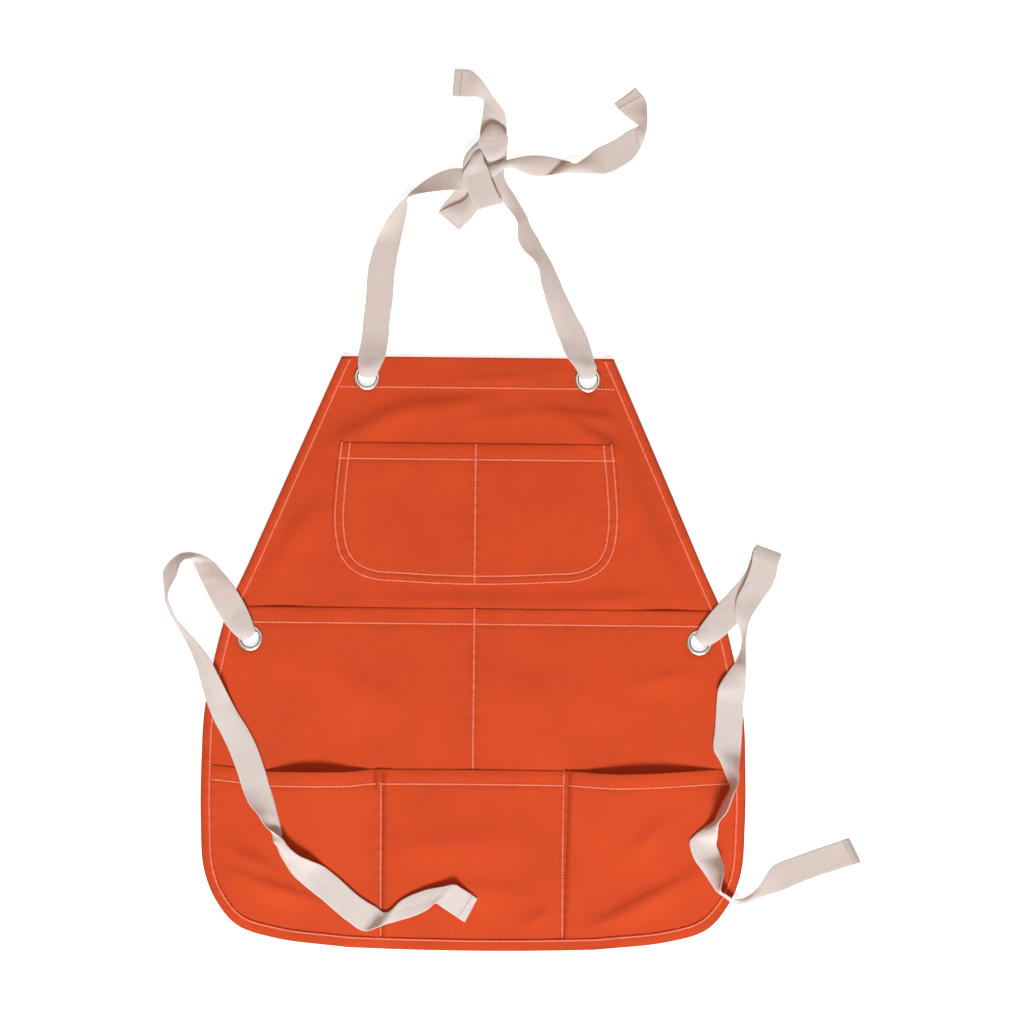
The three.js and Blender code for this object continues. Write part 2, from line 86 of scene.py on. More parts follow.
class Turn(Enum):
    """Which edge of a tape stands up where it reads narrower than it is."""

    LEFT_UP = -1
    FLAT = 0
    RIGHT_UP = 1


# Sizes of the cloth, in millimetres on the apron's own axes: x from its middle, y from its bottom edge


@dataclass(frozen=True)
class Layers:
    """Heights of the cloth layers above the floor, as in the solids."""

    cloth: float = 1.0
    gap: float = 0.3

    @property
    def body(self) -> float:
        """Underside of the body, which lies on the binding's back leg."""
        return self.cloth + self.gap

    @property
    def pocket(self) -> float:
        """Underside of what is sewn on the body."""
        return 2 * self.body

    @property
    def lower(self) -> float:
        """Underside of the lower pocket."""
        return 3 * self.body


class Section(NamedTuple):
    """Half width, height of the side edge and height in the middle of one section of an outline."""

    half: float
    edge: float
    mid: float


class Fold(NamedTuple):
    """A soft ridge: middle, direction in degrees, length, width below and above its crest, and rise."""

    x: float
    y: float
    angle: float
    length: float
    width: float
    lee: float
    rise: float


class Mouth(NamedTuple):
    """A pocket's mouth: its two sides across the apron and how far its middle stands open."""

    start: float
    end: float
    opening: float


class EyeletPlace(NamedTuple):
    """Node and place of an eyelet, and the height of the cloth it is pressed on."""

    node: str
    x: float
    y: float
    seat: float

    def away(self, points: np.ndarray) -> np.ndarray:
        """Distance of each point from its middle, seen from above."""
        return np.hypot(points[:, 0] - self.x, points[:, 1] - self.y)


LAYERS = Layers()
APRON_SECTIONS = [
    Section(125, 545, 545),
    Section(173.5, 435, 435),
    Section(209.5, 352, 352),
    Section(226.2, 314.6, 314.6),
    Section(239.5, 265, 265),
    Section(248, 215, 213),
    Section(250, 169, 167),
    Section(250, 118, 112),
    Section(246.5, 72, 68),
    Section(234, 42, 42),
    Section(215, 21, 26),
    Section(178, 9.5, 13),
    Section(115, 2.2, 0),
]
CHEST_SECTIONS = [
    Section(126, 465.8, 465.8),
    Section(130, 428, 426),
    Section(131.4, 388, 386),
    Section(126, 362, 365),
    Section(114.2, 347.5, 353),
    Section(96, 339.5, 345),
    Section(63.5, 337, 335),
]
WAIST_SECTION = 3
MOUTH_SECTION = 6
TOP_EDGE = APRON_SECTIONS[0].edge
WAIST_LINE = APRON_SECTIONS[WAIST_SECTION].edge
LOWER_LINE = APRON_SECTIONS[MOUTH_SECTION].edge
CHEST_LINE = CHEST_SECTIONS[0].edge
LOWER_MOUTH_LINE = np.array([
    (-250, 169),
    (-238, 168.4),
    (-216, 166),
    (-190, 163),
    (-116, 163.6),
    (-94, 165.8),
    (0, 166.4),
    (88, 166),
    (110, 164.8),
    (132, 164),
    (164, 165.2),
    (224, 168.8),
    (250, 169),
], float)
PANEL_INSET = 1.3
BIB_HEM = 30.5
MOUTH_HEM = 16.0
HEM_STEP = 1.6
HEM_RISE = 0.25
EDGE_PRESS = 0.75
EDGE_REACH = 2.6

# Rows of stitching: their distance below an edge or inside an outline, and their ends across the apron
BIB_ROW = 27.5
BIB_ROW_INSET = 9.0
MOUTH_ROW = 14.2
CHEST_INSETS = (2.2, 9.6)
CHEST_ROW_STEP = 5.0
CHEST_DIVIDER = ((-0.8, CHEST_LINE - 1), (-0.8, 338.0))
WAIST_DIVIDER = ((-0.6, WAIST_LINE - 1), (-0.6, 166.0))
WAIST_ROW_ENDS = (-206.0, 205.0)
LOWER_ROW = 13.0
LEFT_DIVIDER = ((-84.6, 153.0), (-84.2, 80.0), (-83.6, 11.0))
RIGHT_DIVIDER = ((83.4, 165.4), (82.8, 80.0), (83.2, 11.0))
LOWER_ROW_ENDS = {
    "lower hem left": (-240, -90.6),
    "lower hem middle": (-84.6, 83),
    "lower hem right": (89, 240),
}
PLEAT_CREASES = {
    "left pleat": ((-82.7, 164), (-82.6, 90), (-82.4, 14)),
    "left notch": ((-90.4, 165), (-89.8, 151)),
    "right pleat": ((88.6, 165), (86.8, 90), (84.8, 14)),
}
BINDING_ROW_INSET = 8.2
BINDING_ROW_STEP = 8.0

# Soft folds, and the clear edge of the apron in which they die out
FOLDS = [
    Fold(-98, 482, 25, 92, 15, 8, 3.38),
    Fold(-34, 500, 9, 84, 12, 7, 2.73),
    Fold(28, 491, 5, 62, 10, 6, 1.56),
    Fold(104, 492, -6, 72, 9, 5, 2.21),
    Fold(106, 474, -29, 66, 12, 6, 2.86),
    Fold(28, 527, 3, 84, 5, 3.5, 1.04),
    Fold(72, 534, -4, 46, 4, 3, 0.65),
    Fold(158, 390, -65, 130, 22, 14, 3.12),
    Fold(-160, 388, 42, 74, 18, 12, 2.6),
    Fold(-188, 350, 62, 60, 12, 9, 1.56),
    Fold(-20, 321, -1, 112, 9, 6, 1.69),
    Fold(118, 322, 3, 124, 12, 8, 2.08),
    Fold(-92, 236, -25, 84, 20, 14, 1.8),
    Fold(176, 252, 12, 44, 10, 7, 1.69),
    Fold(70, 236, -12, 120, 26, 18, 1.95),
    Fold(-184, 57, -18, 92, 13, 6, 3.7),
    Fold(-204, 82, -27, 62, 12, 7, 2.6),
    Fold(-20, 98, 2, 112, 15, 11, 1.9),
    Fold(10, 56, -8, 80, 13, 9, 1.56),
    Fold(154, 45, 28.5, 116, 13, 6, 3.64),
    Fold(162, 107, 40, 66, 11, 7, 1.82),
    Fold(56, 28, 40, 40, 10, 6, 2.34),
]
FOLD_CLEAR = 13.0
FOLD_FULL = 34.0
CHEST_MOUTHS = [Mouth(-122, -2, 0.1), Mouth(2, 122, 0.1)]
WAIST_MOUTHS = [
    Mouth(-204, -150, 1.1),
    Mouth(-135, -4, -0.22),
    Mouth(4, 150, -0.22),
    Mouth(150, 204, 1.1),
]
LOWER_MOUTHS = [Mouth(-196, -93, 9), Mouth(-80, 80, 0.1), Mouth(89, 226, 8.5)]
CHEST_REACH = 95.0
WAIST_REACH = 125.0
LOWER_REACH = 100.0
MOUTH_FALL = 1.5
MOUTH_ROUND = 1.2

BIB_HEM_TOP = LAYERS.body + 2 * LAYERS.cloth
WAIST_TOP = LAYERS.pocket + LAYERS.cloth
EYELET_PLACES = [
    EyeletPlace("eyelet_neck_left", -101.5, 526, BIB_HEM_TOP),
    EyeletPlace("eyelet_neck_right", 101.5, 526, BIB_HEM_TOP),
    EyeletPlace("eyelet_waist_left", -206.6, 285.5, WAIST_TOP),
    EyeletPlace("eyelet_waist_right", 206.6, 285.5, WAIST_TOP),
]
EYELET_CUT = 9.6
EYELET_COVER = 11.6
EYELET_STEPS = 40


# Curves and planes


def smoothstep(value: np.ndarray, low: float, high: float) -> np.ndarray:
    """0 below low, 1 above high and a smooth rise between them."""
    t = np.clip((value - low) / (high - low), 0, 1)
    return t * t * (3 - 2 * t)


def bell(distance: np.ndarray, width: float) -> np.ndarray:
    """1 at no distance, falling smoothly to nothing at about twice the width."""
    return np.exp(-((distance / width) ** 2))


def distances(line: np.ndarray) -> np.ndarray:
    """Distance of each point of a line from its start, along the line."""
    return np.concatenate([[0], np.cumsum(np.linalg.norm(np.diff(line, axis=0), axis=1))])


def left_of(along: np.ndarray) -> np.ndarray:
    """Unit directions to the left of a line's directions."""
    normal = np.stack([-along[:, 1], along[:, 0]], axis=1)
    return normal / np.linalg.norm(normal, axis=1)[:, None]


def circle(radius: float, count: int, closed: bool = False) -> np.ndarray:
    """Points round the origin, the first one again at the end of a closed circle."""
    angles = np.linspace(0, FULL_TURN, count, endpoint=closed)
    return radius * np.stack([np.cos(angles), np.sin(angles)], axis=1)


def smooth_curve(points: np.ndarray, steps: int) -> np.ndarray:
    """A centripetal Catmull-Rom curve.

    Args:
        points: The points that the curve goes through, one a row.
        steps: How many points the curve has from one of them to the next.

    Returns:
        The curve's points, one a row.
    """
    ends = np.vstack([2 * points[0] - points[1], points, 2 * points[-1] - points[-2]])
    t = np.linspace(0, 1, steps, endpoint=False)[:, None]
    stretches = []
    for p0, p1, p2, p3 in zip(ends, ends[1:], ends[2:], ends[3:]):
        d0, d1, d2 = (math.sqrt(max(np.linalg.norm(d), TINY)) for d in (p1 - p0, p2 - p1, p3 - p2))
        start = d1 * ((p1 - p0) / d0 - (p2 - p0) / (d0 + d1) + (p2 - p1) / d1)
        end = d1 * ((p2 - p1) / d1 - (p3 - p1) / (d1 + d2) + (p3 - p2) / d2)
        cubic = 2 * p1 - 2 * p2 + start + end
        square = -3 * p1 + 3 * p2 - 2 * start - end
        stretches.append(((cubic * t + square) * t + start) * t + p1)
    return np.vstack([*stretches, points[-1:]])


def resample(line: np.ndarray, step: float) -> np.ndarray:
    """A line again, with points about step apart.

    Args:
        line: The line's points, one a row.
        step: The distance between the new points.

    Returns:
        The new points, with the line's two ends among them.
    """
    along = distances(line)
    places = np.linspace(0, along[-1], max(2, math.ceil(along[-1] / step) + 1))
    return np.stack([np.interp(places, along, axis) for axis in line.T], axis=1)


def side_line(sections: Sequence[Section], inset: float, first: int = 0, steps: int = 12) -> np.ndarray:
    """The right-hand side of an outline, from a section down to the last one.

    Args:
        sections: The outline's sections.
        inset: How far inside the outline the line runs.
        first: The section that the line starts at.
        steps: How many points the line has from one section to the next.

    Returns:
        The line's points, one a row.
    """
    side = smooth_curve(np.array(sections, float), steps)[:, :2]
    inward = -left_of(np.gradient(side, axis=0))
    return (side + inset * inward)[first * steps :]


def bottom_line(end: np.ndarray, mid: float, count: int = 60) -> np.ndarray:
    """The bottom edge between the two sides, from right to left, without its ends."""
    across = np.linspace(1, -1, count)[1:-1]
    return np.stack([across * end[0], mid + (end[1] - mid) * across**2], axis=1)


def outline_of(sections: Sequence[Section], inset: float, first: int = 0) -> np.ndarray:
    """A whole outline, without its top edge.

    Args:
        sections: The outline's sections.
        inset: How far inside them it runs.
        first: The section that it starts at.

    Returns:
        Points from the right end of the top edge, round the bottom, to the left end.
    """
    side = side_line(sections, inset, first)
    bottom = bottom_line(side[-1], sections[-1].mid + inset)
    return np.vstack([side, bottom, (side * (-1, 1))[::-1]])


def half_width(y: np.ndarray | float) -> np.ndarray | float:
    """Half of the apron's width at a height, straight from section to section."""
    half, edge, _ = np.array(APRON_SECTIONS, float).T
    return np.interp(y, edge[::-1], half[::-1])


def inside(points: np.ndarray, polygon: np.ndarray) -> np.ndarray:
    """Which points lie inside a closed polygon.

    Args:
        points: The points, one a row.
        polygon: The polygon's corners, one a row.

    Returns:
        Whether each point lies inside.
    """
    x, y = points.T
    result = np.zeros(len(points), bool)
    for (ax, ay), (bx, by) in zip(polygon, np.roll(polygon, -1, axis=0)):
        crosses = (ay > y) != (by > y)
        reach = ax + (y - ay) * (bx - ax) / ((by - ay) or TINY)
        result ^= crosses & (x < reach)
    return result


def inset_ring(ring: np.ndarray, distance: float) -> np.ndarray:
    """A closed ring of points moved towards its inside.

    Args:
        ring: The ring's points, one a row.
        distance: How far they are moved.

    Returns:
        The moved points.
    """
    after = np.roll(ring, -1, axis=0)
    before = np.roll(ring, 1, axis=0)
    turn = np.sign(np.sum(ring[:, 0] * after[:, 1] - after[:, 0] * ring[:, 1]))
    return ring + distance * turn * left_of(after - before)


def to_frame(points: np.ndarray) -> np.ndarray:
    """Points on the apron's own axes in millimetres, in the part's frame in metres."""
    return (points + (APRON_X, APRON_Y, 0)) * MM


# Shape of the laid cloth


@dataclass
class Seam:
    """A row of stitching on the apron, seen from above.

    Attributes:
        name: What the row holds.
        line: Its points in millimetres, one a row.
        gather: How strongly it puckers the cloth.
    """

    name: str
    line: np.ndarray
    gather: float = 1.0

    def near(self, x: np.ndarray, y: np.ndarray) -> tuple[np.ndarray, np.ndarray]:
        """Distance from the row, and the place along it, of each point.

        Args:
            x: Places across the apron.
            y: Places along the apron.

        Returns:
            The distances and the places along the row, in millimetres.
        """
        reach = 30.0
        best = np.full(x.shape, reach)
        along = np.zeros(x.shape)
        low, high = self.line.min(axis=0) - reach, self.line.max(axis=0) + reach
        close = (x > low[0]) & (x < high[0]) & (y > low[1]) & (y < high[1])
        if not close.any():
            return best, along
        px, py = x[close], y[close]
        found, place = best[close], along[close]
        start = 0.0
        for a, b in zip(self.line[:-1], self.line[1:]):
            length = float(np.linalg.norm(b - a))
            u, v = (b - a) / length
            t = np.clip((px - a[0]) * u + (py - a[1]) * v, 0, length)
            distance = np.hypot(px - a[0] - t * u, py - a[1] - t * v)
            nearer = distance < found
            found = np.where(nearer, distance, found)
            place = np.where(nearer, start + t, place)
            start += length
        best[close], along[close] = found, place
        return best, along


@dataclass
class LaidCloth:
    """What all layers share as they lie: soft folds, seam puckers and slow unevenness.

    Attributes:
        seams: The rows of stitching that pucker the cloth.
        drifts: Strength and length of the slow shifts that make the waves uneven.
        slow_dip: How far the slow unevenness may go below the layer's flat height.
        slow_pattern: How its finer waves fall, how much finer each is, and how many there are.
    """

    seams: list[Seam]
    pucker_rise: float = 0.2
    pucker_length: float = 11.0
    pucker_reach: float = 9.0
    drifts: Sequence[tuple[float, float]] = ((1.7, 23.0), (1.1, 61.0))
    slow_rise: float = 0.55
    slow_length: float = 75.0
    slow_dip: float = 0.2
    slow_slice: float = 0.5
    slow_pattern: tuple[float, float, int] = (0.6, 2.1, 3)

    def folds(self, x: np.ndarray, y: np.ndarray) -> np.ndarray:
        """Rise of the soft folds, which die out at the apron's edge.

        Args:
            x: Places across the apron.
            y: Places along the apron.

        Returns:
            The rise at each place.
        """
        margin = np.minimum(half_width(y) - np.abs(x), y)
        rise = np.zeros(x.shape)
        for fold in FOLDS:
            turn = math.radians(fold.angle)
            dx, dy = x - fold.x, y - fold.y
            along = (dx * math.cos(turn) + dy * math.sin(turn)) / (fold.length / 2)
            across = dy * math.cos(turn) - dx * math.sin(turn)
            across = across / np.where(across > 0, fold.lee, fold.width)
            rise += fold.rise * np.exp(-(along**2) - across**2)
        return rise * smoothstep(margin, FOLD_CLEAR, FOLD_FULL)

    def puckers(self, x: np.ndarray, y: np.ndarray) -> np.ndarray:
        """Small waves across the rows of stitching.

        Args:
            x: Places across the apron.
            y: Places along the apron.

        Returns:
            The rise at each place.
        """
        rise = np.zeros(x.shape)
        for number, seam in enumerate(self.seams):
            distance, along = seam.near(x, y)
            drift = sum(
                strength * np.sin(along / length + times * number)
                for times, (strength, length) in enumerate(self.drifts, 1)
            )
            wave = np.sin(FULL_TURN * along / self.pucker_length + drift)
            rise += seam.gather * wave * bell(distance, self.pucker_reach)
        return self.pucker_rise * rise

    def slow(self, x: np.ndarray, y: np.ndarray) -> np.ndarray:
        """Slow unevenness of cloth that was folded and laid out.

        Args:
            x: Places across the apron.
            y: Places along the apron.

        Returns:
            The rise at each place.
        """
        size = self.slow_length
        spots = [(a / size, b / size, self.slow_slice) for a, b in zip(x, y)]
        return self.slow_rise * np.array([noise.fractal(spot, *self.slow_pattern) for spot in spots])

    def __call__(self, x: np.ndarray, y: np.ndarray) -> np.ndarray:
        """Rise of the cloth above its layer's flat height, never below it by much."""
        return self.folds(x, y) + self.puckers(x, y) + np.maximum(self.slow(x, y), -self.slow_dip)


@dataclass(frozen=True)
class PocketMouth:
    """How a pocket stands off the cloth behind it.

    Attributes:
        mouths: The mouths across it.
        line: Height of the mouth's edge across the apron.
        reach: Depth below the edge at which the opening closes.
    """

    mouths: Sequence[Mouth]
    line: Callable[[np.ndarray], np.ndarray]
    reach: float

    def opening(self, x: np.ndarray, y: np.ndarray) -> np.ndarray:
        """How far the pocket stands off at each place.

        Args:
            x: Places across the apron.
            y: Places along the apron.

        Returns:
            The distances.
        """
        depth = np.clip((self.line(x) - y) / self.reach, 0, 1)
        lift = np.zeros(x.shape)
        for mouth in self.mouths:
            share = np.clip((x - mouth.start) / (mouth.end - mouth.start), 0, 1)
            lift += mouth.opening * np.sin(math.pi * share) ** MOUTH_ROUND
        return lift * (1 - depth) ** MOUTH_FALL

    def hem(self, x: np.ndarray, y: np.ndarray) -> np.ndarray:
        """Extra thickness of the folded hem along the mouth, whose edge is pressed thin.

        Args:
            x: Places across the apron.
            y: Places along the apron.

        Returns:
            The thickness at each place.
        """
        below = self.line(x) - y
        fold = HEM_RISE * (1 - smoothstep(below, MOUTH_HEM - HEM_STEP, MOUTH_HEM))
        return fold - EDGE_PRESS * (1 - smoothstep(below, 0, EDGE_REACH))


def level(height: float) -> Callable[[np.ndarray], np.ndarray]:
    """A straight line across the apron at a height."""
    return lambda x: np.full(np.shape(x), height, float)


def lower_mouth(x: np.ndarray) -> np.ndarray:
    """Height of the lower pocket's edge across the apron."""
    return np.interp(x, *LOWER_MOUTH_LINE.T)


# Finishes


class Nodes:
    """A node tree under construction."""

    def __init__(self, tree: bpy.types.NodeTree) -> None:
        """Starts on a tree."""
        self.tree = tree

    def give(self, socket: bpy.types.NodeSocket, value: object) -> None:
        """Links a socket to another one, or sets it to a constant.

        Args:
            socket: The socket.
            value: The other socket or the constant.
        """
        if isinstance(value, bpy.types.NodeSocket):
            self.tree.links.new(value, socket)
        else:
            socket.default_value = value

    def node(self, kind: str, inputs: dict | None = None, **settings) -> bpy.types.Node:
        """A node with its settings and inputs.

        Args:
            kind: The node's type.
            inputs: Values or sockets by input name or number.
            settings: The node's own properties.

        Returns:
            The node.
        """
        made = self.tree.nodes.new(kind)
        for key, value in settings.items():
            setattr(made, key, value)
        for key, value in (inputs or {}).items():
            self.give(made.inputs[key], value)
        return made


class Shader(Nodes):
    """A material under construction, with short ways to add its nodes."""

    def __init__(self, name: str) -> None:
        """A new material with a single Principled shader.

        Args:
            name: Its name.
        """
        self.material = bpy.data.materials.new(name)
        self.material.use_nodes = True
        super().__init__(self.material.node_tree)
        self.tree.nodes.clear()
        self.principled = self.node("ShaderNodeBsdfPrincipled")
        self.node("ShaderNodeOutputMaterial", {"Surface": self.principled.outputs["BSDF"]})

    def place(self) -> bpy.types.NodeSocket:
        """Object coordinates."""
        return self.node("ShaderNodeTexCoord").outputs["Object"]

    def axes(self, vector: object) -> bpy.types.NodeOutputs:
        """The three parts of a vector."""
        return self.node("ShaderNodeSeparateXYZ", {0: vector}).outputs

    def attribute(self, name: str) -> bpy.types.NodeSocket:
        """A value that the piece's own points hold."""
        return self.node("ShaderNodeAttribute", attribute_name=name).outputs["Fac"]

    def math(self, operation: str, *values: object) -> bpy.types.NodeSocket:
        """The result of a math node."""
        return self.node("ShaderNodeMath", dict(enumerate(values)), operation=operation).outputs[0]

    def waves(self, value: object, length: float) -> bpy.types.NodeSocket:
        """Even waves of a length along a value."""
        return self.math("SINE", self.math("MULTIPLY", value, FULL_TURN / length))

    def blend(self, *parts: tuple[object, float]) -> bpy.types.NodeSocket:
        """The sum of some values, each times its share.

        Args:
            parts: The values, each with its share.

        Returns:
            The sum.
        """
        total = 0.0
        for value, share in parts:
            total = self.math("MULTIPLY_ADD", value, share, total)
        return total

    def noise(self, vector: object, scale: float = 1.0, detail: float = 3.0) -> bpy.types.NodeSocket:
        """A noise texture's value."""
        inputs = {"Vector": vector, "Scale": scale, "Detail": detail}
        return self.node("ShaderNodeTexNoise", inputs).outputs[0]

    def stretched(self, vector: object, scale: tuple[float, float, float]) -> bpy.types.NodeSocket:
        """Coordinates scaled by a different factor on each axis."""
        return self.node("ShaderNodeMapping", {"Vector": vector, "Scale": scale}).outputs[0]

    def between(self, factor: object, ends: Ends, clamp: bool = True) -> bpy.types.NodeSocket:
        """A factor from 0 to 1 as a value between two ends."""
        inputs = {"Value": factor, "To Min": ends[0], "To Max": ends[1]}
        return self.node("ShaderNodeMapRange", inputs, clamp=clamp).outputs[0]

    def tint(self, colour: Colour, factor: object, shades: Ends) -> bpy.types.NodeSocket:
        """A colour made darker and lighter by a factor from 0 to 1."""
        inputs = {0: colour, "Scale": self.between(factor, shades, clamp=False)}
        return self.node("ShaderNodeVectorMath", inputs, operation="SCALE").outputs[0]

    def set(self, **values: object) -> None:
        """Values or sockets for the shader's inputs, with _ for a space in their names."""
        for key, value in values.items():
            self.give(self.principled.inputs[key.replace("_", " ")], value)

    def bump(self, height: object, strength: float, distance: float) -> None:
        """A bump on the shader's normal."""
        inputs = {"Height": height, "Strength": strength, "Distance": distance}
        self.set(Normal=self.node("ShaderNodeBump", inputs).outputs[0])


def linear(red: int, green: int, blue: int) -> Colour:
    """A display colour from 0 to 255 as scene light, by the standard display curve."""
    shares = [value / 255 for value in (red, green, blue)]
    return tuple(s / 12.92 if s <= 0.04045 else ((s + 0.055) / 1.055) ** 2.4 for s in shares)


@dataclass(frozen=True)
class CanvasFinish:
    """Plain-woven dyed canvas, on Object coordinates, with painted shade from the pieces' seam attribute.

    Attributes:
        colour: The dye, as scene light.
        yarn: Distance between yarns in metres.
        slub_scales: How fine uneven yarns are along themselves and across.
        seam_shade_share: How much painted shade darkens the colour along rows of stitching, creases and the
            binding's folds.
        shades: The darkest and the lightest share of the dye.
        slub_relief: How far uneven yarns stand out, beside the weave.
        relief: Strength and depth of the relief, in metres.
    """

    name: str
    colour: Colour
    yarn: float = 0.0009
    slub_scales: tuple[float, float] = (70, 900)
    cloud_scale: float = 16.0
    slub_share: float = 0.22
    cloud_share: float = 0.5
    seam_shade_share: float = 0.26
    shades: Ends = (0.72, 1.28)
    slub_relief: float = 1.6
    relief: tuple[float, float] = (0.35, 0.00025)

    def material(self) -> bpy.types.Material:
        """The material, with nodes for weave, slubs, uneven dye and painted shade along seams and creases.

        Returns:
            The material.
        """
        shader = Shader(self.name)
        place = shader.place()
        x, y, _ = shader.axes(place)
        weave = shader.math("MULTIPLY", shader.waves(x, self.yarn), shader.waves(y, self.yarn))
        coarse, fine = self.slub_scales
        weft = shader.noise(shader.stretched(place, (coarse, fine, 1)), detail=2.0)
        warp = shader.noise(shader.stretched(place, (fine, coarse, 1)), detail=2.0)
        slubs = shader.math("ADD", weft, warp)
        clouds = shader.noise(place, self.cloud_scale, detail=4.0)
        # The seam attribute holds painted shade along rows, eyelet rings, creases and the binding's folds.
        seam = shader.attribute("seam")
        shade = shader.blend(
            (slubs, self.slub_share),
            (clouds, self.cloud_share),
            (seam, -self.seam_shade_share),
        )
        shader.set(Base_Color=shader.tint(self.colour, shade, self.shades))
        shader.set(Roughness=0.88, Specular_IOR_Level=0.18, Sheen_Weight=0.06, Sheen_Roughness=0.5)
        shader.bump(shader.blend((weave, 1.0), (slubs, self.slub_relief)), *self.relief)
        return shader.material


@dataclass(frozen=True)
class TapeFinish:
    """Undyed herringbone tape, woven along its own UV map.

    Attributes:
        colour: The cotton's colour, as scene light.
        rib: Distance between ribs as a share of the tape's width.
        bands: How many times the ribs turn across the tape.
        yarn_scales: How fine the yarns are across the tape and along it.
        shades: The darkest and the lightest share of the colour.
        yarn_relief: How far yarns stand out, beside the ribs.
        relief: Strength and depth of the relief, in metres.
    """

    name: str
    colour: Colour
    rib: float = 0.055
    bands: int = 4
    yarn_scales: tuple[float, float] = (60, 4)
    cloud_scale: float = 1.4
    rib_share: float = 0.05
    yarn_share: float = 0.5
    cloud_share: float = 0.3
    shades: Ends = (0.86, 1.14)
    yarn_relief: float = 0.8
    relief: tuple[float, float] = (0.5, 0.0002)

    def material(self) -> bpy.types.Material:
        """The material, with nodes for ribs, yarns and uneven bleach.

        Returns:
            The material.
        """
        shader = Shader(self.name)
        place = shader.node("ShaderNodeUVMap", uv_map="weave").outputs[0]
        across, along, _ = shader.axes(place)
        zigzag = shader.math("PINGPONG", across, 1 / self.bands)
        ribs = shader.waves(shader.math("ADD", along, zigzag), self.rib)
        yarns = shader.noise(shader.stretched(place, (*self.yarn_scales, 1)))
        clouds = shader.noise(place, self.cloud_scale)
        shade = shader.blend((ribs, self.rib_share), (yarns, self.yarn_share), (clouds, self.cloud_share))
        shader.set(Base_Color=shader.tint(self.colour, shade, self.shades))
        shader.set(Roughness=0.9, Specular_IOR_Level=0.2, Sheen_Weight=0.1, Sheen_Roughness=0.5)
        shader.set(Subsurface_Weight=0.35, Subsurface_Radius=(1.0, 0.82, 0.7), Subsurface_Scale=0.0015)
        shader.bump(shader.blend((ribs, 1.0), (yarns, self.yarn_relief)), *self.relief)
        return shader.material


@dataclass(frozen=True)
class MetalFinish:
    """Bright plated metal with fine scuffs, with painted shade where an attribute marks the barrel.

    Attributes:
        scuff_scale: How fine the scuffs are on each axis.
        scuff_share: How much they show in the colour.
        shades: The share of the colour in the barrel's painted shade and on the rest of the plate.
        roughness: The plate's roughness between scuffs and in them.
        relief: Strength and depth of the scuffs, in metres.
    """

    name: str
    colour: Colour
    scuff_scale: tuple[float, float, float] = (900, 160, 160)
    scuff_share: float = 0.2
    shades: Ends = (0.2, 1.1)
    roughness: Ends = (0.24, 0.42)
    relief: tuple[float, float] = (0.15, 0.0001)

    def material(self) -> bpy.types.Material:
        """The material, on Object coordinates.

        Returns:
            The material.
        """
        shader = Shader(self.name)
        scuffs = shader.noise(shader.stretched(shader.place(), self.scuff_scale), detail=4.0)
        # Painted shade in the barrel and on the ring's inner edge, where the attribute is 1.
        bright = 1 - self.scuff_share
        barrel_shaded = shader.math("MULTIPLY_ADD", shader.attribute("barrel"), -bright, bright)
        plate = shader.math("MULTIPLY_ADD", scuffs, self.scuff_share, barrel_shaded)
        shader.set(Base_Color=shader.tint(self.colour, plate, self.shades), Metallic=1.0)
        shader.set(Roughness=shader.between(scuffs, self.roughness))
        shader.bump(scuffs, *self.relief)
        return shader.material


@dataclass(frozen=True)
class ThreadFinish:
    """Twisted sewing thread.

    Attributes:
        ply: Distance between its plies in metres.
        shades: The share of the colour between plies and on them.
        relief: Strength and depth of the plies, in metres.
    """

    name: str
    colour: Colour
    ply: float = 0.0007
    shades: Ends = (0.94, 1.04)
    relief: tuple[float, float] = (0.4, 0.0001)

    def material(self) -> bpy.types.Material:
        """The material, on Object coordinates.

        Returns:
            The material.
        """
        shader = Shader(self.name)
        x, y, _ = shader.axes(shader.place())
        plies = shader.waves(shader.math("ADD", x, y), self.ply)
        share = shader.math("MULTIPLY_ADD", plies, 0.5, 0.5)
        shader.set(Base_Color=shader.tint(self.colour, share, self.shades), Roughness=0.6, Sheen_Weight=0.1)
        shader.bump(plies, *self.relief)
        return shader.material


@dataclass(frozen=True)
class FloorFinish:
    """A pale matt studio floor that gives a little light of its own.

    Attributes:
        glow: The strength of its own light.
        grain_scale: How fine its grain is.
        shades: The darkest and the lightest share of the colour.
    """

    name: str
    colour: Colour
    glow_colour: Colour = (0.92, 0.97, 1.0)
    glow: float = 0.6
    grain_scale: float = 30.0
    shades: Ends = (0.99, 1.01)

    def material(self) -> bpy.types.Material:
        """The material, on Object coordinates.

        Returns:
            The material.
        """
        shader = Shader(self.name)
        grain = shader.noise(shader.place(), self.grain_scale, detail=2.0)
        shader.set(Base_Color=shader.tint(self.colour, grain, self.shades), Roughness=0.95)
        shader.set(Specular_IOR_Level=0.1, Emission_Color=(*self.glow_colour, 1), Emission_Strength=self.glow)
        return shader.material


CANVAS = CanvasFinish("orange_canvas", linear(214, 74, 33))
COTTON = TapeFinish("undyed_tape", linear(225, 211, 204))
PLATE = MetalFinish("nickel_plate", (0.82, 0.82, 0.81))
THREAD = ThreadFinish("pale_thread", linear(246, 120, 88))
UNDYED = ThreadFinish("undyed_thread", linear(206, 178, 168))
FLOOR = FloorFinish("studio_floor", (0.97, 0.97, 0.97))


# Meshes


def add_object(name: str, data: bpy.types.ID) -> bpy.types.Object:
    """A new object at the origin, linked to the scene.

    Args:
        name: Its name.
        data: Its mesh, lamp or camera.

    Returns:
        The object.
    """
    made = bpy.data.objects.new(name, data)
    bpy.context.scene.collection.objects.link(made)
    return made


def add_mesh(name: str, points: np.ndarray, faces: Sequence[Sequence[int]]) -> bpy.types.Object:
    """A smooth-shaded mesh object at the origin.

    Args:
        name: The piece's name.
        points: Its points in the part's frame, in metres.
        faces: The points of each face.

    Returns:
        The object, linked to the scene.
    """
    mesh = bpy.data.meshes.new(name)
    mesh.from_pydata(points.tolist(), [], [list(map(int, face)) for face in faces])
    mesh.shade_smooth()
    mesh.update()
    return add_object(name, mesh)


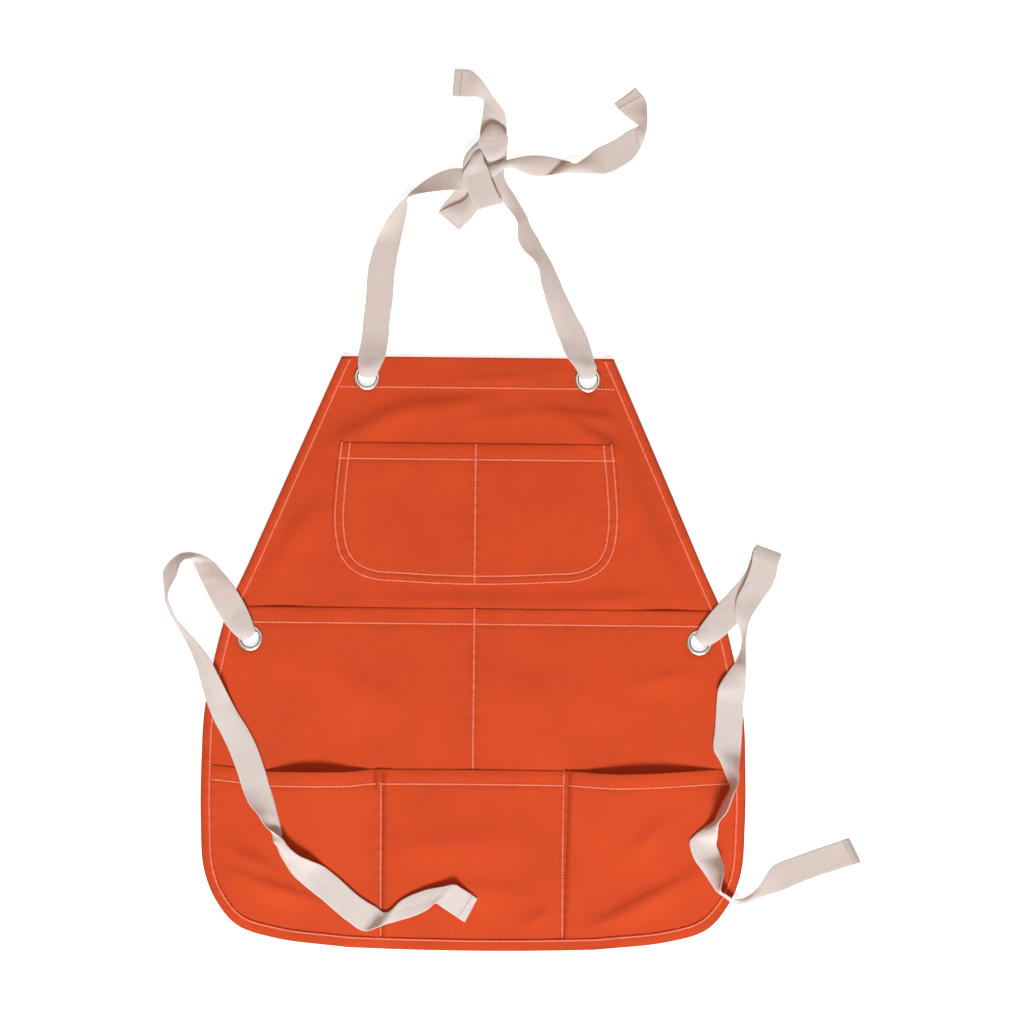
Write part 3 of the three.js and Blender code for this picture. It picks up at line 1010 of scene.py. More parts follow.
def mark_points(made: bpy.types.Object, name: str, values: np.ndarray) -> None:
    """Stores a value at each point of a piece, for its finish to read."""
    store = made.data.attributes.new(name, "FLOAT", "POINT")
    store.data.foreach_set("value", values.astype(np.float32))


def tube_faces(rings: int, count: int, closed: bool = False) -> list[list[int]]:
    """Faces of a tube whose points are stored ring after ring.

    Args:
        rings: How many rings it has.
        count: How many points a ring has.
        closed: Whether the last ring meets the first one; otherwise each end gets a face.

    Returns:
        The points of each face.
    """
    faces = []
    for r in range(rings if closed else rings - 1):
        here, there = r * count, (r + 1) % rings * count
        for i in range(count):
            j = (i + 1) % count
            faces.append([here + i, there + i, there + j, here + j])
    if not closed:
        last = (rings - 1) * count
        faces.append(list(range(count)))
        faces.append(list(range(last, last + count))[::-1])
    return faces


@contextmanager
def edited(made: bpy.types.Object) -> Iterator[bmesh.types.BMesh]:
    """A piece's mesh, open for editing and written back afterwards.

    Args:
        made: The piece.

    Returns:
        The open mesh, once.
    """
    work = bmesh.new()
    work.from_mesh(made.data)
    yield work
    work.to_mesh(made.data)
    work.free()


def face_outwards(made: bpy.types.Object) -> None:
    """Turns the faces of closed shells outwards."""
    with edited(made) as work:
        bmesh.ops.recalc_face_normals(work, faces=work.faces[:])


def drop_loose(made: bpy.types.Object) -> None:
    """Removes points that no face uses."""
    with edited(made) as work:
        bmesh.ops.delete(work, geom=[v for v in work.verts if not v.link_faces], context="VERTS")


def place_piece(made: bpy.types.Object, finish: bpy.types.Material, slot: Slot | None, *nodes: str) -> None:
    """Gives a piece its finish and body, and hides the nodes that it stands for.

    Args:
        made: The piece.
        finish: Its material.
        slot: The record's slot; not used.
        nodes: The nodes that it replaces.
    """
    made.data.materials.clear()
    made.data.materials.append(finish)
    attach(made, BODY)
    if nodes:
        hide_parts(*nodes)
    LOG.info("%s: %d faces", made.name, len(made.data.polygons))


@dataclass
class ClothPanel:
    """One layer of cloth cut to an outline and laid in its place.

    Attributes:
        outline: The cut's edge, in millimetres.
        low: Height of its underside.
        thickness: Thickness of the cloth and its hems.
        rows: Rows of stitching through its face.
        flat: Width and length that it was cut to, in metres; not used.
        area: Area of the cut in square metres; not used.
        creases: Lines where the cloth is folded sharply.
        edge_insets: Limit of the fine points, the line of points beside the edge, and limit of the grid.
        edge_bulge: How far its cut edge stands out, as a share of its thickness.
        row_shifts: Lines of points along a row and beside it.
        crease_shifts: Lines of points along a crease and beside it.
        crease_clear: Room that the points of a row leave beside a crease.
        row_clear: Room that the grid leaves beside rows and creases.
        hole_clear: Room that the fine points and the grid leave round a hole.
    """

    name: str
    node: str
    outline: np.ndarray
    low: Heights
    thickness: Heights
    rows: list[Seam]
    flat: tuple[float, float]
    area: float
    holes: Sequence[EyeletPlace] = ()
    creases: list[Seam] = field(default_factory=list)
    spacing: float = 3.2
    grid_rise: float = 0.866
    edge_step: float = 2.4
    edge_insets: tuple[float, float, float] = (0.5, 0.8, 2.4)
    edge_bulge: float = 0.4
    row_step: float = 2.6
    row_shifts: Sequence[float] = (-2.2, -0.9, 0, 0.9, 2.2)
    crease_step: float = 2.0
    crease_shifts: Sequence[float] = (-1.2, -0.5, 0, 0.5, 1.2)
    crease_clear: float = 1.6
    row_clear: float = 3.4
    hole_clear: tuple[float, float] = (0.6, 2.0)
    groove_depth: float = 0.65
    groove_width: float = 1.7
    # Painted shade: how fast it fades beside a row, how dark it is in a crease, and how wide it is there.
    row_fade: float = 2.2
    crease_shade: float = 2.6
    crease_fade: float = 1.2
    least: float = 0.3

    def top(self, x: np.ndarray, y: np.ndarray) -> np.ndarray:
        """Height of its face, with a groove along each row.

        Args:
            x: Places across the apron.
            y: Places along the apron.

        Returns:
            The height at each place.
        """
        low = self.low(x, y)
        height = low + self.thickness(x, y)
        for row in self.rows:
            distance, _ = row.near(x, y)
            height = height - self.groove_depth * bell(distance, self.groove_width)
        return np.maximum(height, low + self.least)

    def grid(self, edge: np.ndarray) -> np.ndarray:
        """Points over the cut's box, with every second row half a step aside.

        Args:
            edge: Points along the cut's edge.

        Returns:
            The points, one a row.
        """
        (x0, y0), (x1, y1) = edge.min(axis=0), edge.max(axis=0)
        rise = self.spacing * self.grid_rise
        return np.array([
            (x0 + self.spacing * (i + j % 2 / 2), y0 + rise * j)
            for j in range(math.ceil((y1 - y0) / rise))
            for i in range(math.ceil((x1 - x0) / self.spacing))
        ])

    def off_creases(self, spots: np.ndarray) -> np.ndarray:
        """The points that don't crowd a crease.

        Args:
            spots: Points, one a row.

        Returns:
            Those that are kept.
        """
        keep = np.ones(len(spots), bool)
        for crease in self.creases:
            distance, _ = crease.near(*spots.T)
            keep &= distance > self.crease_clear
        return spots[keep]

    def beside(self, line: np.ndarray, step: float, shifts: Sequence[float]) -> list[np.ndarray]:
        """Lines of points along a row or a crease and beside it.

        Args:
            line: The row or crease.
            step: Distance between the points.
            shifts: How far each line lies beside it.

        Returns:
            The points of each line.
        """
        middle = resample(line, step)
        normal = left_of(np.gradient(middle, axis=0))
        return [middle + shift * normal for shift in shifts]

    def plan(self) -> tuple[np.ndarray, np.ndarray]:
        """The cut as seen from above.

        Returns:
            Its points in millimetres, and the points of its triangles.
        """
        fine_inset, line_inset, grid_inset = self.edge_insets
        fine_clear, grid_clear = self.hole_clear
        edge = resample(np.vstack([self.outline, self.outline[:1]]), self.edge_step)[:-1]
        grid = self.grid(edge)
        keep = inside(grid, inset_ring(edge, grid_inset))
        for row in [*self.rows, *self.creases]:
            distance, _ = row.near(*grid.T)
            keep &= distance > self.row_clear
        fine = []
        for row in self.rows:
            fine += map(self.off_creases, self.beside(row.line, self.row_step, self.row_shifts))
        for crease in self.creases:
            fine += self.beside(crease.line, self.crease_step, self.crease_shifts)
        extra = np.vstack([*fine, inset_ring(edge, line_inset)])
        extra = extra[inside(extra, inset_ring(edge, fine_inset))]
        for hole in self.holes:
            keep &= hole.away(grid) > EYELET_CUT + grid_clear
            extra = extra[hole.away(extra) > EYELET_CUT + fine_clear]
        holes = [circle(EYELET_CUT, EYELET_STEPS) + (hole.x, hole.y) for hole in self.holes]
        sides = []
        start = 0
        for ring in [edge, *holes]:
            numbers = start + np.arange(len(ring))
            sides += list(zip(numbers.tolist(), np.roll(numbers, -1).tolist()))
            start += len(ring)
        points = np.vstack([edge, *holes, extra, grid[keep]])
        spots, _, triangles, *_ = geometry.delaunay_2d_cdt(list(map(Vector, points)), sides, [], 0, MERGE)
        spots = np.array([tuple(spot) for spot in spots])
        triangles = np.array(triangles)
        middles = spots[triangles].mean(axis=1)
        within = inside(middles, edge)
        for ring in holes:
            within &= ~inside(middles, ring)
        return spots, triangles[within]

    def shell(self, spots: np.ndarray, triangles: np.ndarray) -> tuple[np.ndarray, list[list[int]]]:
        """The cloth's face, underside and rounded cut edge.

        Args:
            spots: Points of the cut, seen from above.
            triangles: The points of its triangles.

        Returns:
            Points in millimetres, and the points of each face.
        """
        top, low = self.top(*spots.T), self.low(*spots.T)
        count = len(spots)
        sides = np.vstack([triangles[:, [0, 1]], triangles[:, [1, 2]], triangles[:, [2, 0]]])
        rim = sides[~np.isin(sides[:, 0] * count + sides[:, 1], sides[:, 1] * count + sides[:, 0])]
        step = spots[rim[:, 1]] - spots[rim[:, 0]]
        normal = np.stack([step[:, 1], -step[:, 0]], axis=1)
        outward = np.zeros((count, 2))
        np.add.at(outward, rim[:, 0], normal)
        np.add.at(outward, rim[:, 1], normal)
        outward /= np.maximum(np.linalg.norm(outward, axis=1), TINY)[:, None]
        middle = spots + outward * (self.edge_bulge * (top - low))[:, None]
        points = np.vstack([
            np.column_stack([spots, top]),
            np.column_stack([spots, low]),
            np.column_stack([middle, (top + low) / 2]),
        ])
        faces = [*triangles.tolist(), *(triangles[:, ::-1] + count).tolist()]
        for a, b in rim.tolist():
            faces.append([b, a, a + 2 * count, b + 2 * count])
            faces.append([b + 2 * count, a + 2 * count, a + count, b + count])
        return points, faces

    def marks(self, points: np.ndarray) -> np.ndarray:
        """Painted shade at each point, from how near it is to a row of stitching, an eyelet's ring or a
        crease.

        Args:
            points: Points, one a row.

        Returns:
            The painted shade of each point.
        """
        x, y, _ = points.T
        mark = np.zeros(len(points))
        for row in self.rows:
            distance, _ = row.near(x, y)
            mark = np.maximum(mark, np.exp(-distance / self.row_fade))
        for crease in self.creases:
            distance, _ = crease.near(x, y)
            mark = np.maximum(mark, self.crease_shade * bell(distance, self.crease_fade))
        return mark

    def build(self, finish: bpy.types.Material) -> bpy.types.Object:
        """The cloth as a closed piece.

        Args:
            finish: Its material.

        Returns:
            The piece.
        """
        points, faces = self.shell(*self.plan())
        made = add_mesh(self.name, to_frame(points), faces)
        # Painted shade along rows and creases, stored for the finish to read.
        mark_points(made, "seam", self.marks(points))
        drop_loose(made)
        place_piece(made, finish, Slot.CANVAS, self.node)
        return made


class StripPoint(NamedTuple):
    """A point of the binding's section: inset, height, whether it rides on the cloth, and its painted shade.
    """

    inset: float
    height: float
    rides: bool = False
    mark: float = 0.0


@dataclass
class EdgeBinding:
    """The folded strip round the armholes, sides and bottom edge.

    Attributes:
        bottom_rise: Heights between which the one width turns into the other.
        fold_room: Cloth that the fold takes up, in metres; not used.
        ramp: Length of its climb onto a layer.
        lead: How far before a layer's edge the climb ends.
        end_sections: Sections at each end that are drawn to the bib's top edge.
        lift: Room between the cloth and its front leg.
    """

    cloth: LaidCloth
    name: str = "edge_binding_strip"
    node: str = "edge_binding"
    side_width: float = 9.6
    bottom_width: float = 10.9
    bottom_rise: tuple[float, float] = (10, 60)
    uneven: float = 0.35
    uneven_length: float = 45.0
    uneven_slice: float = 2.5
    fold_room: float = 0.003
    step: float = 3.0
    ramp: float = 9.0
    lead: float = 4.0
    end_sections: int = 5
    lift: float = 0.06
    row_inset: float = 1.5
    row_height: float = 0.95
    # Painted shade along the row of stitching, where the strip turns down and in its fold at the edge.
    row_shade: float = 0.5
    turn_shade: float = 0.8
    fold_shade: float = 2.2

    def stations(self) -> tuple[np.ndarray, np.ndarray]:
        """Points round the outline from the top left to the top right, and the directions inwards."""
        line = resample(outline_of(APRON_SECTIONS, 0.0)[::-1], self.step)
        return line, left_of(np.gradient(line, axis=0))

    def widths(self, line: np.ndarray) -> np.ndarray:
        """Width of the strip's front leg at each station, a little uneven.

        Args:
            line: The stations.

        Returns:
            The widths.
        """
        bottom = 1 - smoothstep(line[:, 1], *self.bottom_rise)
        spots = line / self.uneven_length
        uneven = [self.uneven * noise.noise((a, b, self.uneven_slice)) for a, b in spots]
        return self.side_width + (self.bottom_width - self.side_width) * bottom + np.array(uneven)

    def stack(self, y: np.ndarray) -> np.ndarray:
        """Height of the topmost cloth under the strip's front leg.

        Args:
            y: Places along the apron.

        Returns:
            The height at each place.
        """
        def climb(line: float) -> np.ndarray:
            """1 where the strip has climbed onto the layer that starts at a line."""
            return 1 - smoothstep(y, line + self.lead, line + self.lead + self.ramp)

        hem = smoothstep(y, TOP_EDGE - BIB_HEM - self.ramp, TOP_EDGE - BIB_HEM)
        layers = climb(WAIST_LINE) + climb(LOWER_LINE)
        return LAYERS.body + LAYERS.cloth * (1 + hem) + LAYERS.body * layers

    def section(self, wide: float, stack: float) -> list[StripPoint]:
        """The strip's section: front leg, fold, back leg and the inside between the legs.

        Args:
            wide: Width of its front leg.
            stack: Height of the cloth under its front leg.

        Returns:
            Points round the section.
        """
        low = stack + self.lift
        high = low + LAYERS.cloth
        return [
            StripPoint(wide, low, True),
            StripPoint(wide + 0.2, low + 0.2, True),
            StripPoint(wide, low + 0.45, True),
            StripPoint(wide - 0.7, low + 0.7, True),
            StripPoint(wide - self.row_inset, high - 0.3, True, self.row_shade),
            StripPoint(wide - 2.4, high - 0.05, True),
            StripPoint(wide / 2, high + 0.12, True),
            StripPoint(1.6, high + 0.05, True, self.turn_shade),
            StripPoint(0.5, high - 0.35, False, self.fold_shade),
            StripPoint(0.0, high / 2 + 0.4, False, self.fold_shade),
            StripPoint(0.0, high / 2 - 0.4, False, self.fold_shade),
            StripPoint(0.5, 0.35, False, self.fold_shade),
            StripPoint(1.6, 0.0),
            StripPoint(wide / 2, 0.0),
            StripPoint(wide - 0.3, 0.0),
            StripPoint(wide, 0.5),
            StripPoint(wide - 0.3, LAYERS.cloth),
            StripPoint(1.2, LAYERS.cloth),
            StripPoint(1.2, low, True),
        ]

    def level_ends(self, rings: np.ndarray, line: np.ndarray, inward: np.ndarray) -> None:
        """Slides the points of the first and last sections along the strip, up to the bib's top edge.

        Args:
            rings: Points of each section, which are moved.
            line: The stations.
            inward: The directions inwards.
        """
        share = np.clip(1 - np.arange(len(rings)) / self.end_sections, 0, 1)
        share = np.maximum(share, share[::-1])
        for ring, spot, normal, part in zip(rings, line, inward, share):
            if part > 0:
                up = np.array([-normal[1], normal[0]]) * np.sign(normal[0])
                fall = (spot[1] - ring[:, 1]) / up[1]
                ring[:, :2] += part * fall[:, None] * up

    def row(self) -> np.ndarray:
        """The row of stitching on its front, in millimetres with height.

        Returns:
            Its points, one a row.
        """
        line, inward = self.stations()
        spots = line + (self.widths(line) - self.row_inset)[:, None] * inward
        return np.column_stack([spots, self.stack(line[:, 1]) + self.cloth(*spots.T) + self.row_height])

    def build(self, finish: bpy.types.Material) -> bpy.types.Object:
        """The strip as a closed piece.

        Args:
            finish: Its material.

        Returns:
            The piece.
        """
        line, inward = self.stations()
        sections = [self.section(*sizes) for sizes in zip(self.widths(line), self.stack(line[:, 1]))]
        insets, heights, rides, marks = np.array(sections, float).transpose(2, 0, 1)
        spots = line[:, None] + insets[:, :, None] * inward[:, None]
        rings = np.concatenate([spots, heights[:, :, None]], axis=2)
        self.level_ends(rings, line, inward)
        points = rings.reshape(-1, 3)
        points[:, 2] += self.cloth(points[:, 0], points[:, 1]) * rides.ravel()
        made = add_mesh(self.name, to_frame(points), tube_faces(*rings.shape[:2]))
        # Painted shade along the row, the turn and the fold, stored for the finish to read.
        mark_points(made, "seam", marks.ravel())
        face_outwards(made)
        place_piece(made, finish, Slot.CANVAS, self.node)
        return made


@dataclass
class Eyelet:
    """A pressed ring eyelet with its back washer.

    Attributes:
        crown_round: How full the front ring's arch is; lower is fuller.
        seat_gap: Room between the cloth and the front ring.
        shaded_lip: Width of the ring's inner edge that gets the barrel's painted shade.
    """

    place: EyeletPlace
    hole: float = 8.25
    barrel: float = 8.9
    flange: float = 11.7
    back: float = 10.9
    crown: float = 1.1
    crown_round: float = 0.6
    crown_steps: int = 11
    seat_gap: float = 0.25
    shaded_lip: float = 0.8
    sides: int = 64

    def profile(self) -> np.ndarray:
        """Radii and heights round the ring's section.

        Returns:
            Points of its underside, arch, bore and back washer, one a row.
        """
        seat = self.place.seat + self.seat_gap
        middle = (self.hole + self.flange) / 2
        half = (self.flange - self.hole) / 2
        arc = np.linspace(0, math.pi, self.crown_steps)
        underside = [(self.barrel, seat - 0.05), (self.flange - 0.3, seat - 0.08)]
        arch = [middle + half * np.cos(arc), seat + self.crown * np.sin(arc) ** self.crown_round]
        bore = [(self.hole, seat - 0.8), (self.hole, 0.5), (self.hole + 0.25, 0.12), (self.hole + 0.7, 0.0)]
        washer = [(self.back - 0.4, 0.0), (self.back, 0.3), (self.back - 0.2, 0.85), (self.barrel, 0.95)]
        return np.vstack([underside, np.column_stack(arch), bore, washer])

    def build(self, finish: bpy.types.Material) -> bpy.types.Object:
        """The eyelet as a closed ring.

        Args:
            finish: Its material.

        Returns:
            The piece.
        """
        profile = self.profile()
        points = np.array([
            (self.place.x + radius * x, self.place.y + radius * y, height)
            for x, y in circle(1.0, self.sides)
            for radius, height in profile
        ])
        faces = tube_faces(self.sides, len(profile), closed=True)
        made = add_mesh(f"{self.place.node}_ring", to_frame(points), faces)
        face_outwards(made)
        # The barrel attribute marks painted shade on the bore and the ring's inner edge.
        mark_points(made, "barrel", np.tile(profile[:, 0] < self.hole + self.shaded_lip, self.sides))
        place_piece(made, finish, Slot.METAL, self.place.node)
        return made


# Tapes: sections across each tape, in millimetres in the part's frame, from its eyelet to its free end.
# A section has its left edge, its right edge, the height of its lower edge, which edge stands up, how far
# at most where the tape bends over, and how far its middle rolls out along the tape's face.

FLAT_SHARE = 0.9
CUP_LIMIT = 2.2
ARC_SHARE = 0.375
HOLE_DEPTH = 0.45
CURL_SLICE = 0.3
WANDER_SLICE = 4.5
TAPE_SHARES = (-1, -0.985, -0.95, -0.9, -0.75, -0.5, -0.25, 0, 0.25, 0.5, 0.75, 0.9, 0.95, 0.985, 1)

NECK_LEFT = [
    (-143, 121.3, -127.4, 121.6, 0.4, 0),
    (-143, 121.8, -127.2, 122.1, 4.2, 0),
    (-144.7, 129, -124.2, 129, 5.8, 0),
    (-144.6, 138.7, -119.6, 139.5, 4.6, 0),
    (-143, 152, -117, 152, 1.6, 0),
    (-141, 168, -116, 170, 0.3, 0),
    (-138, 193, -114, 193, 0.3, 0),
    (-136, 221, -112, 219, 0.3, 0),
    (-129, 246, -107, 244.5, 0.3, 0),
    (-118.5, 265, -103.2, 263, 0.3, -1, 7),
    (-108.5, 278, -101, 276.5, 0.3, -1, 8),
    (-99.8, 285.5, -100.8, 287, 0.3, -1, 8),
    (-86, 289, -92, 296, 0.3, -1, 8),
    (-72, 291, -79, 305.5, 1, -1, 8),
    (-59, 292, -63, 312, 3, -1, 5),
    (-48, 291, -49, 313, 4.2, 0),
    (-29, 300, -31, 314, 4.2, 0),
    (-8, 313.5, -11, 320.5, 4.2, 0),
    (6, 309, 9, 325, 2.4, 0),
    (15, 306.5, 21, 325.5, 1.2, 0),
    (26, 307, 46, 320.5, 0.4, 0),
    (39.4, 308, 52.4, 317.5, 8.6, 0),
    (69, 309, 62, 324, 3, 0),
    (82, 310, 73, 332, 0.3, 0),
    (96, 315, 86, 340, 0.3, 0),
    (107, 325, 101, 348, 0.3, 0),
    (111.5, 331, 106.5, 351.5, 0.4, 0),
    (114, 335, 110, 353, 4.2, 0),
    (117.5, 347, 111, 353.5, 4, -1, 5),
    (118.5, 361, 105, 358, 0.3, -1, 7),
    (116, 377, 95, 367, 0.3, 0),
    (108, 389, 87, 373, 0.3, 0),
]
NECK_RIGHT = [
    (59.7, 120.8, 73.6, 123.6, 0.4, 0),
    (59.5, 121.3, 73.7, 124, 4.2, 0),
    (53.7, 131.6, 74.4, 131, 5.8, 0),
    (46, 142, 70.8, 141.2, 4.6, 0),
    (40.6, 156, 64, 161, 1.6, 0),
    (33, 174, 53.4, 182, 0.3, -1, 3),
    (26.3, 194, 44.4, 200, 0.3, -1, 7),
    (22.2, 209, 38.6, 213, 0.3, -1, 8),
    (20, 221, 32, 227, 0.3, -1, 8),
    (15.4, 229, 27.6, 234.5, 0.3, -1, 8),
    (7.6, 236, 23, 242, 0.3, -1, 8),
    (1.6, 245, 19.4, 249, 0.3, -1, 8),
    (0.6, 253, 13, 259, 0.3, -1, 8),
    (0, 264, 9, 269, 0.5, -1, 7),
    (-11, 279, -1, 286, 1.2, 0),
    (-30, 300, -12, 305, 1.6, 0),
    (-34, 324, -11.5, 322, 1.6, 0),
    (-34, 346, -11, 344, 1.0, 0),
    (-33, 363, -13, 364, 0.3, 1, 8),
    (-32, 375, -23, 377, 0.3, 1, 8),
    (-36, 378.5, -34, 393, 0.3, 1, 8),
    (-48, 379, -45, 403, 0.3, 0),
    (-61, 379, -59, 404, 0.3, 0),
]
NECK_TONGUE = [
    (-42, 314, -31, 319, 4.4, 0),
    (-43.5, 319.5, -33, 327, 5.6, 0),
    (-44.2, 321, -34, 329.5, 8.4, 0),
    (-43.8, 319, -32.5, 327, 11, 0),
    (-48, 312.5, -31, 319, 11, 0),
    (-50, 304, -27.5, 311, 10, 0),
    (-48.5, 294, -21, 299, 9.2, 0),
    (-45, 284, -15, 289, 8.6, 0),
    (-40, 273.5, -11.5, 281.5, 7, 0),
    (-44, 281, -14, 287, 5.4, 0),
    (-47, 290, -20, 296, 5.2, 0),
]
NECK_LOBE = [
    (-26, 330, -14, 333, 3.2, 0),
    (-27.5, 322, -13, 327.5, 3.8, 0),
    (-28, 319.5, -12.5, 325.5, 6, 0),
    (-30.5, 323, -11, 328.5, 8.4, 0),
    (-35.2, 331, -8.8, 336, 10.5, 1, 0),
    (-36.6, 336.5, -9.2, 340.5, 10.7, 1, 0),
    (-33.2, 344.5, -13.5, 347.5, 8.6, 0),
    (-28, 351, -17, 352, 6.2, 0),
    (-28.5, 348.5, -16, 349.5, 3.8, 0),
    (-32, 342, -13, 343, 2.6, 0),
]
NECK_CURL = [
    (-50.5, 311.5, -45.5, 310.5, 5.8, 0),
    (-50.2, 318.5, -44.6, 315.5, 7.4, 0),
    (-47.6, 325, -42.2, 320.6, 8.4, 0),
    (-42.8, 331.5, -38.8, 326.8, 8.6, 0),
    (-36.8, 337.5, -33, 331.5, 7.4, 0),
]
NECK_LOOP = [
    (-44, 290, -35, 277, 5.6, 0),
    (-49, 283, -42, 266.5, 4, 0),
    (-60, 278.5, -48, 261, 3, 0),
    (-69, 274.5, -51.5, 257.2, 2.2, 0),
    (-72.5, 272.5, -53, 256, 1.4, 0),
    (-69, 279, -50, 261.5, 0.6, 0),
    (-64, 285.5, -46, 267, 0.4, 0),
    (-55, 293, -40, 276, 0.4, 0),
    (-48, 298, -34, 284, 0.6, 0),
]
TIE_LEFT = [
    (-248.6, -123.4, -236, -114.6, 0.4, 0),
    (-249, -122.8, -236.4, -114, 4.4, 0),
    (-255, -118, -238.5, -107, 5.8, 0),
    (-265, -106, -246, -91, 5.7, 0),
    (-276, -87, -256, -75, 5.2, 0),
    (-287, -69, -266, -62, 1.6, 0),
    (-296, -52, -276, -51, 0.3, 0),
    (-301, -49, -289, -44, 0.3, -1, 9),
    (-305, -53, -307, -44, 0.3, -1, 9),
    (-309, -65, -322, -60, 0.3, -1, 9),
    (-315.6, -77.5, -321, -76, 0.3, -1, 9),
    (-316.6, -86, -320, -87, 0.3, -1, 8),
    (-312, -98.5, -315.2, -99, 0.3, -1, 7),
    (-308.4, -105.5, -310.6, -107, 0.3, -1, 6),
    (-302.2, -112, -306.4, -114.4, 0.6, -1, 6),
    (-295.5, -118.8, -302, -122, 1.4, -1, 6),
    (-287.5, -127.4, -297.6, -130, 3.2, -1, 6),
    (-276, -142, -290, -147.5, 5.6, -1, 6),
    (-265, -163, -284, -169, 5.7, -1, 6),
    (-254, -185, -275, -193, 5.7, 0),
    (-236, -214, -260, -224, 5.2, 0),
    (-225, -242, -250, -252, 6.4, 0),
    (-221.5, -256, -246.5, -260, 6.8, 0),
    (-217.2, -270, -240, -272.5, 7, 1, 4),
    (-213.8, -283, -231.5, -282, 7, 1, 8),
    (-211.2, -293, -223.6, -293, 7, 1, 9.5, -2),
    (-209.8, -300, -215.4, -298.4, 7, 1, 9.5, -6.5),
    (-212, -308, -208.6, -303.4, 7, 1, 9.5, -6.5),
    (-212.6, -316, -203.4, -310.4, 7, 1, 9, -3),
    (-206.6, -327, -194.4, -318, 7, 1, 8.5),
    (-200, -337, -183.5, -323.2, 7, 1, 6.5),
    (-187.4, -347.4, -171.4, -329.6, 7, 0),
    (-170, -361, -155, -343, 6.8, 0),
    (-149, -380, -137, -357, 6.6, 0),
    (-134, -388, -123, -366, 6.8, 0),
    (-120, -383, -114, -371, 7, -1, 9),
    (-110, -380.6, -98.6, -358.8, 7, 0),
    (-87, -373, -79, -350.2, 8.6, 0),
    (-75.5, -367.4, -62.5, -346.2, 10.2, 0),
    (-67.8, -361.6, -50.4, -344.2, 11.2, 0),
    (-61.4, -365.6, -44.8, -347.6, 10, 0),
    (-51.4, -372.3, -37.3, -352.4, 8.2, 0),
    (-41.5, -379.2, -30, -357.2, 6.4, 0),
]
TIE_RIGHT = [
    (167, -114.4, 177.4, -124.8, 0.4, 0),
    (167.6, -113.8, 178, -124.2, 4.4, 0),
    (171, -106.5, 185.5, -120.5, 5.8, 0),
    (184, -89, 201, -108, 5.8, 0),
    (199, -73, 218, -90, 2.4, 0),
    (213, -55, 234, -70, 0.4, 0),
    (219, -36, 244, -44, 0.4, 0),
    (222, -30, 247, -39, 3.4, 0),
    (219, -38, 244, -47, 6.4, 0),
    (218, -47, 242, -56, 6.4, 0),
    (213, -64, 237, -68, 6.4, 0),
    (206, -80, 229, -79, 6.4, 0),
    (204, -96, 217.5, -99, 7, 1, 2),
    (210.6, -116, 214, -116, 1, 1, 7),
    (208, -132, 214, -134, 0.3, 1, 7),
    (200, -144, 214, -149, 4, 1, 5),
    (190, -161, 213, -160, 8.6, 0),
    (188, -174, 212, -174, 6.4, 0),
    (187, -197, 211, -199, 6, 0),
    (186, -218, 209, -221, 7, 0),
    (191, -229, 208, -234, 7, 1, 9),
    (197, -243, 207, -247, 7, 1, 17),
    (201, -254, 202, -257, 7, 1),
    (193, -271, 196, -273, 7, 1),
    (187, -283, 189, -282, 7, 1),
    (178, -289.5, 188.8, -290, 7, 1, 16),
    (169, -296.5, 189, -298, 7.2, 1, 8),
    (164, -303, 189, -306, 7.5, 0),
    (169, -318, 192, -316, 7.5, 0),
    (177, -331, 195, -329, 7, 1),
    (184, -341, 192, -339, 7, 1),
    (189, -348, 191, -344, 6.8, 1),
    (196.5, -353.4, 198, -351, 6.8, 1, 8),
    (203, -358.2, 205.5, -355, 6.4, 1, 4),
    (211, -361, 215, -354.6, 3, 0),
    (220, -359.4, 222.6, -350.4, 0.8, 0),
    (233, -353.4, 230, -342.6, 0.4, 0),
    (250, -347.6, 241, -326, 0.3, -1, 4),
    (274, -337, 266, -315, 0.3, -1, 4),
    (322, -321, 311, -299, 0.3, -1, 4),
]


class TapeSection(NamedTuple):
    """One section across a tape."""

    left_x: float
    left_y: float
    right_x: float
    right_y: float
    low: float
    up: int
    stand: float = math.inf
    roll: float = 0.0

    @property
    def turn(self) -> Turn:
        """Which edge stands up."""
        return Turn(self.up)

    @property
    def span(self) -> float:
        """Distance between its edges, seen from above."""
        return math.hypot(self.right_x - self.left_x, self.right_y - self.left_y)

    def edges(self, width: float, thickness: float) -> tuple[np.ndarray, np.ndarray]:
        """Its two edge points, at the tape's width or with one of them standing up.

        Args:
            width: The tape's width.
            thickness: The tape's thickness.

        Returns:
            The left and the right edge point.
        """
        height = self.low + thickness / 2
        left = np.array([self.left_x, self.left_y, height])
        right = np.array([self.right_x, self.right_y, height])
        if self.turn is not Turn.FLAT:
            rise = min(self.stand, math.sqrt(max(width**2 - self.span**2, 0)))
            (left if self.turn is Turn.LEFT_UP else right)[2] += rise
        elif self.span > FLAT_SHARE * width:
            spare = (right - left) * (width / self.span - 1) / 2
            return left - spare, right + spare
        return left, right

    def cup(self, width: float) -> float:
        """How far the middle rises where a flat section is pressed narrower than the tape.

        Args:
            width: The tape's width.

        Returns:
            The rise.
        """
        pressed = self.turn is Turn.FLAT and self.span <= FLAT_SHARE * width
        if not pressed or self.low <= HOLE_DEPTH:
            return 0.0
        return min(CUP_LIMIT, math.sqrt(ARC_SHARE * self.span * (width - self.span)))


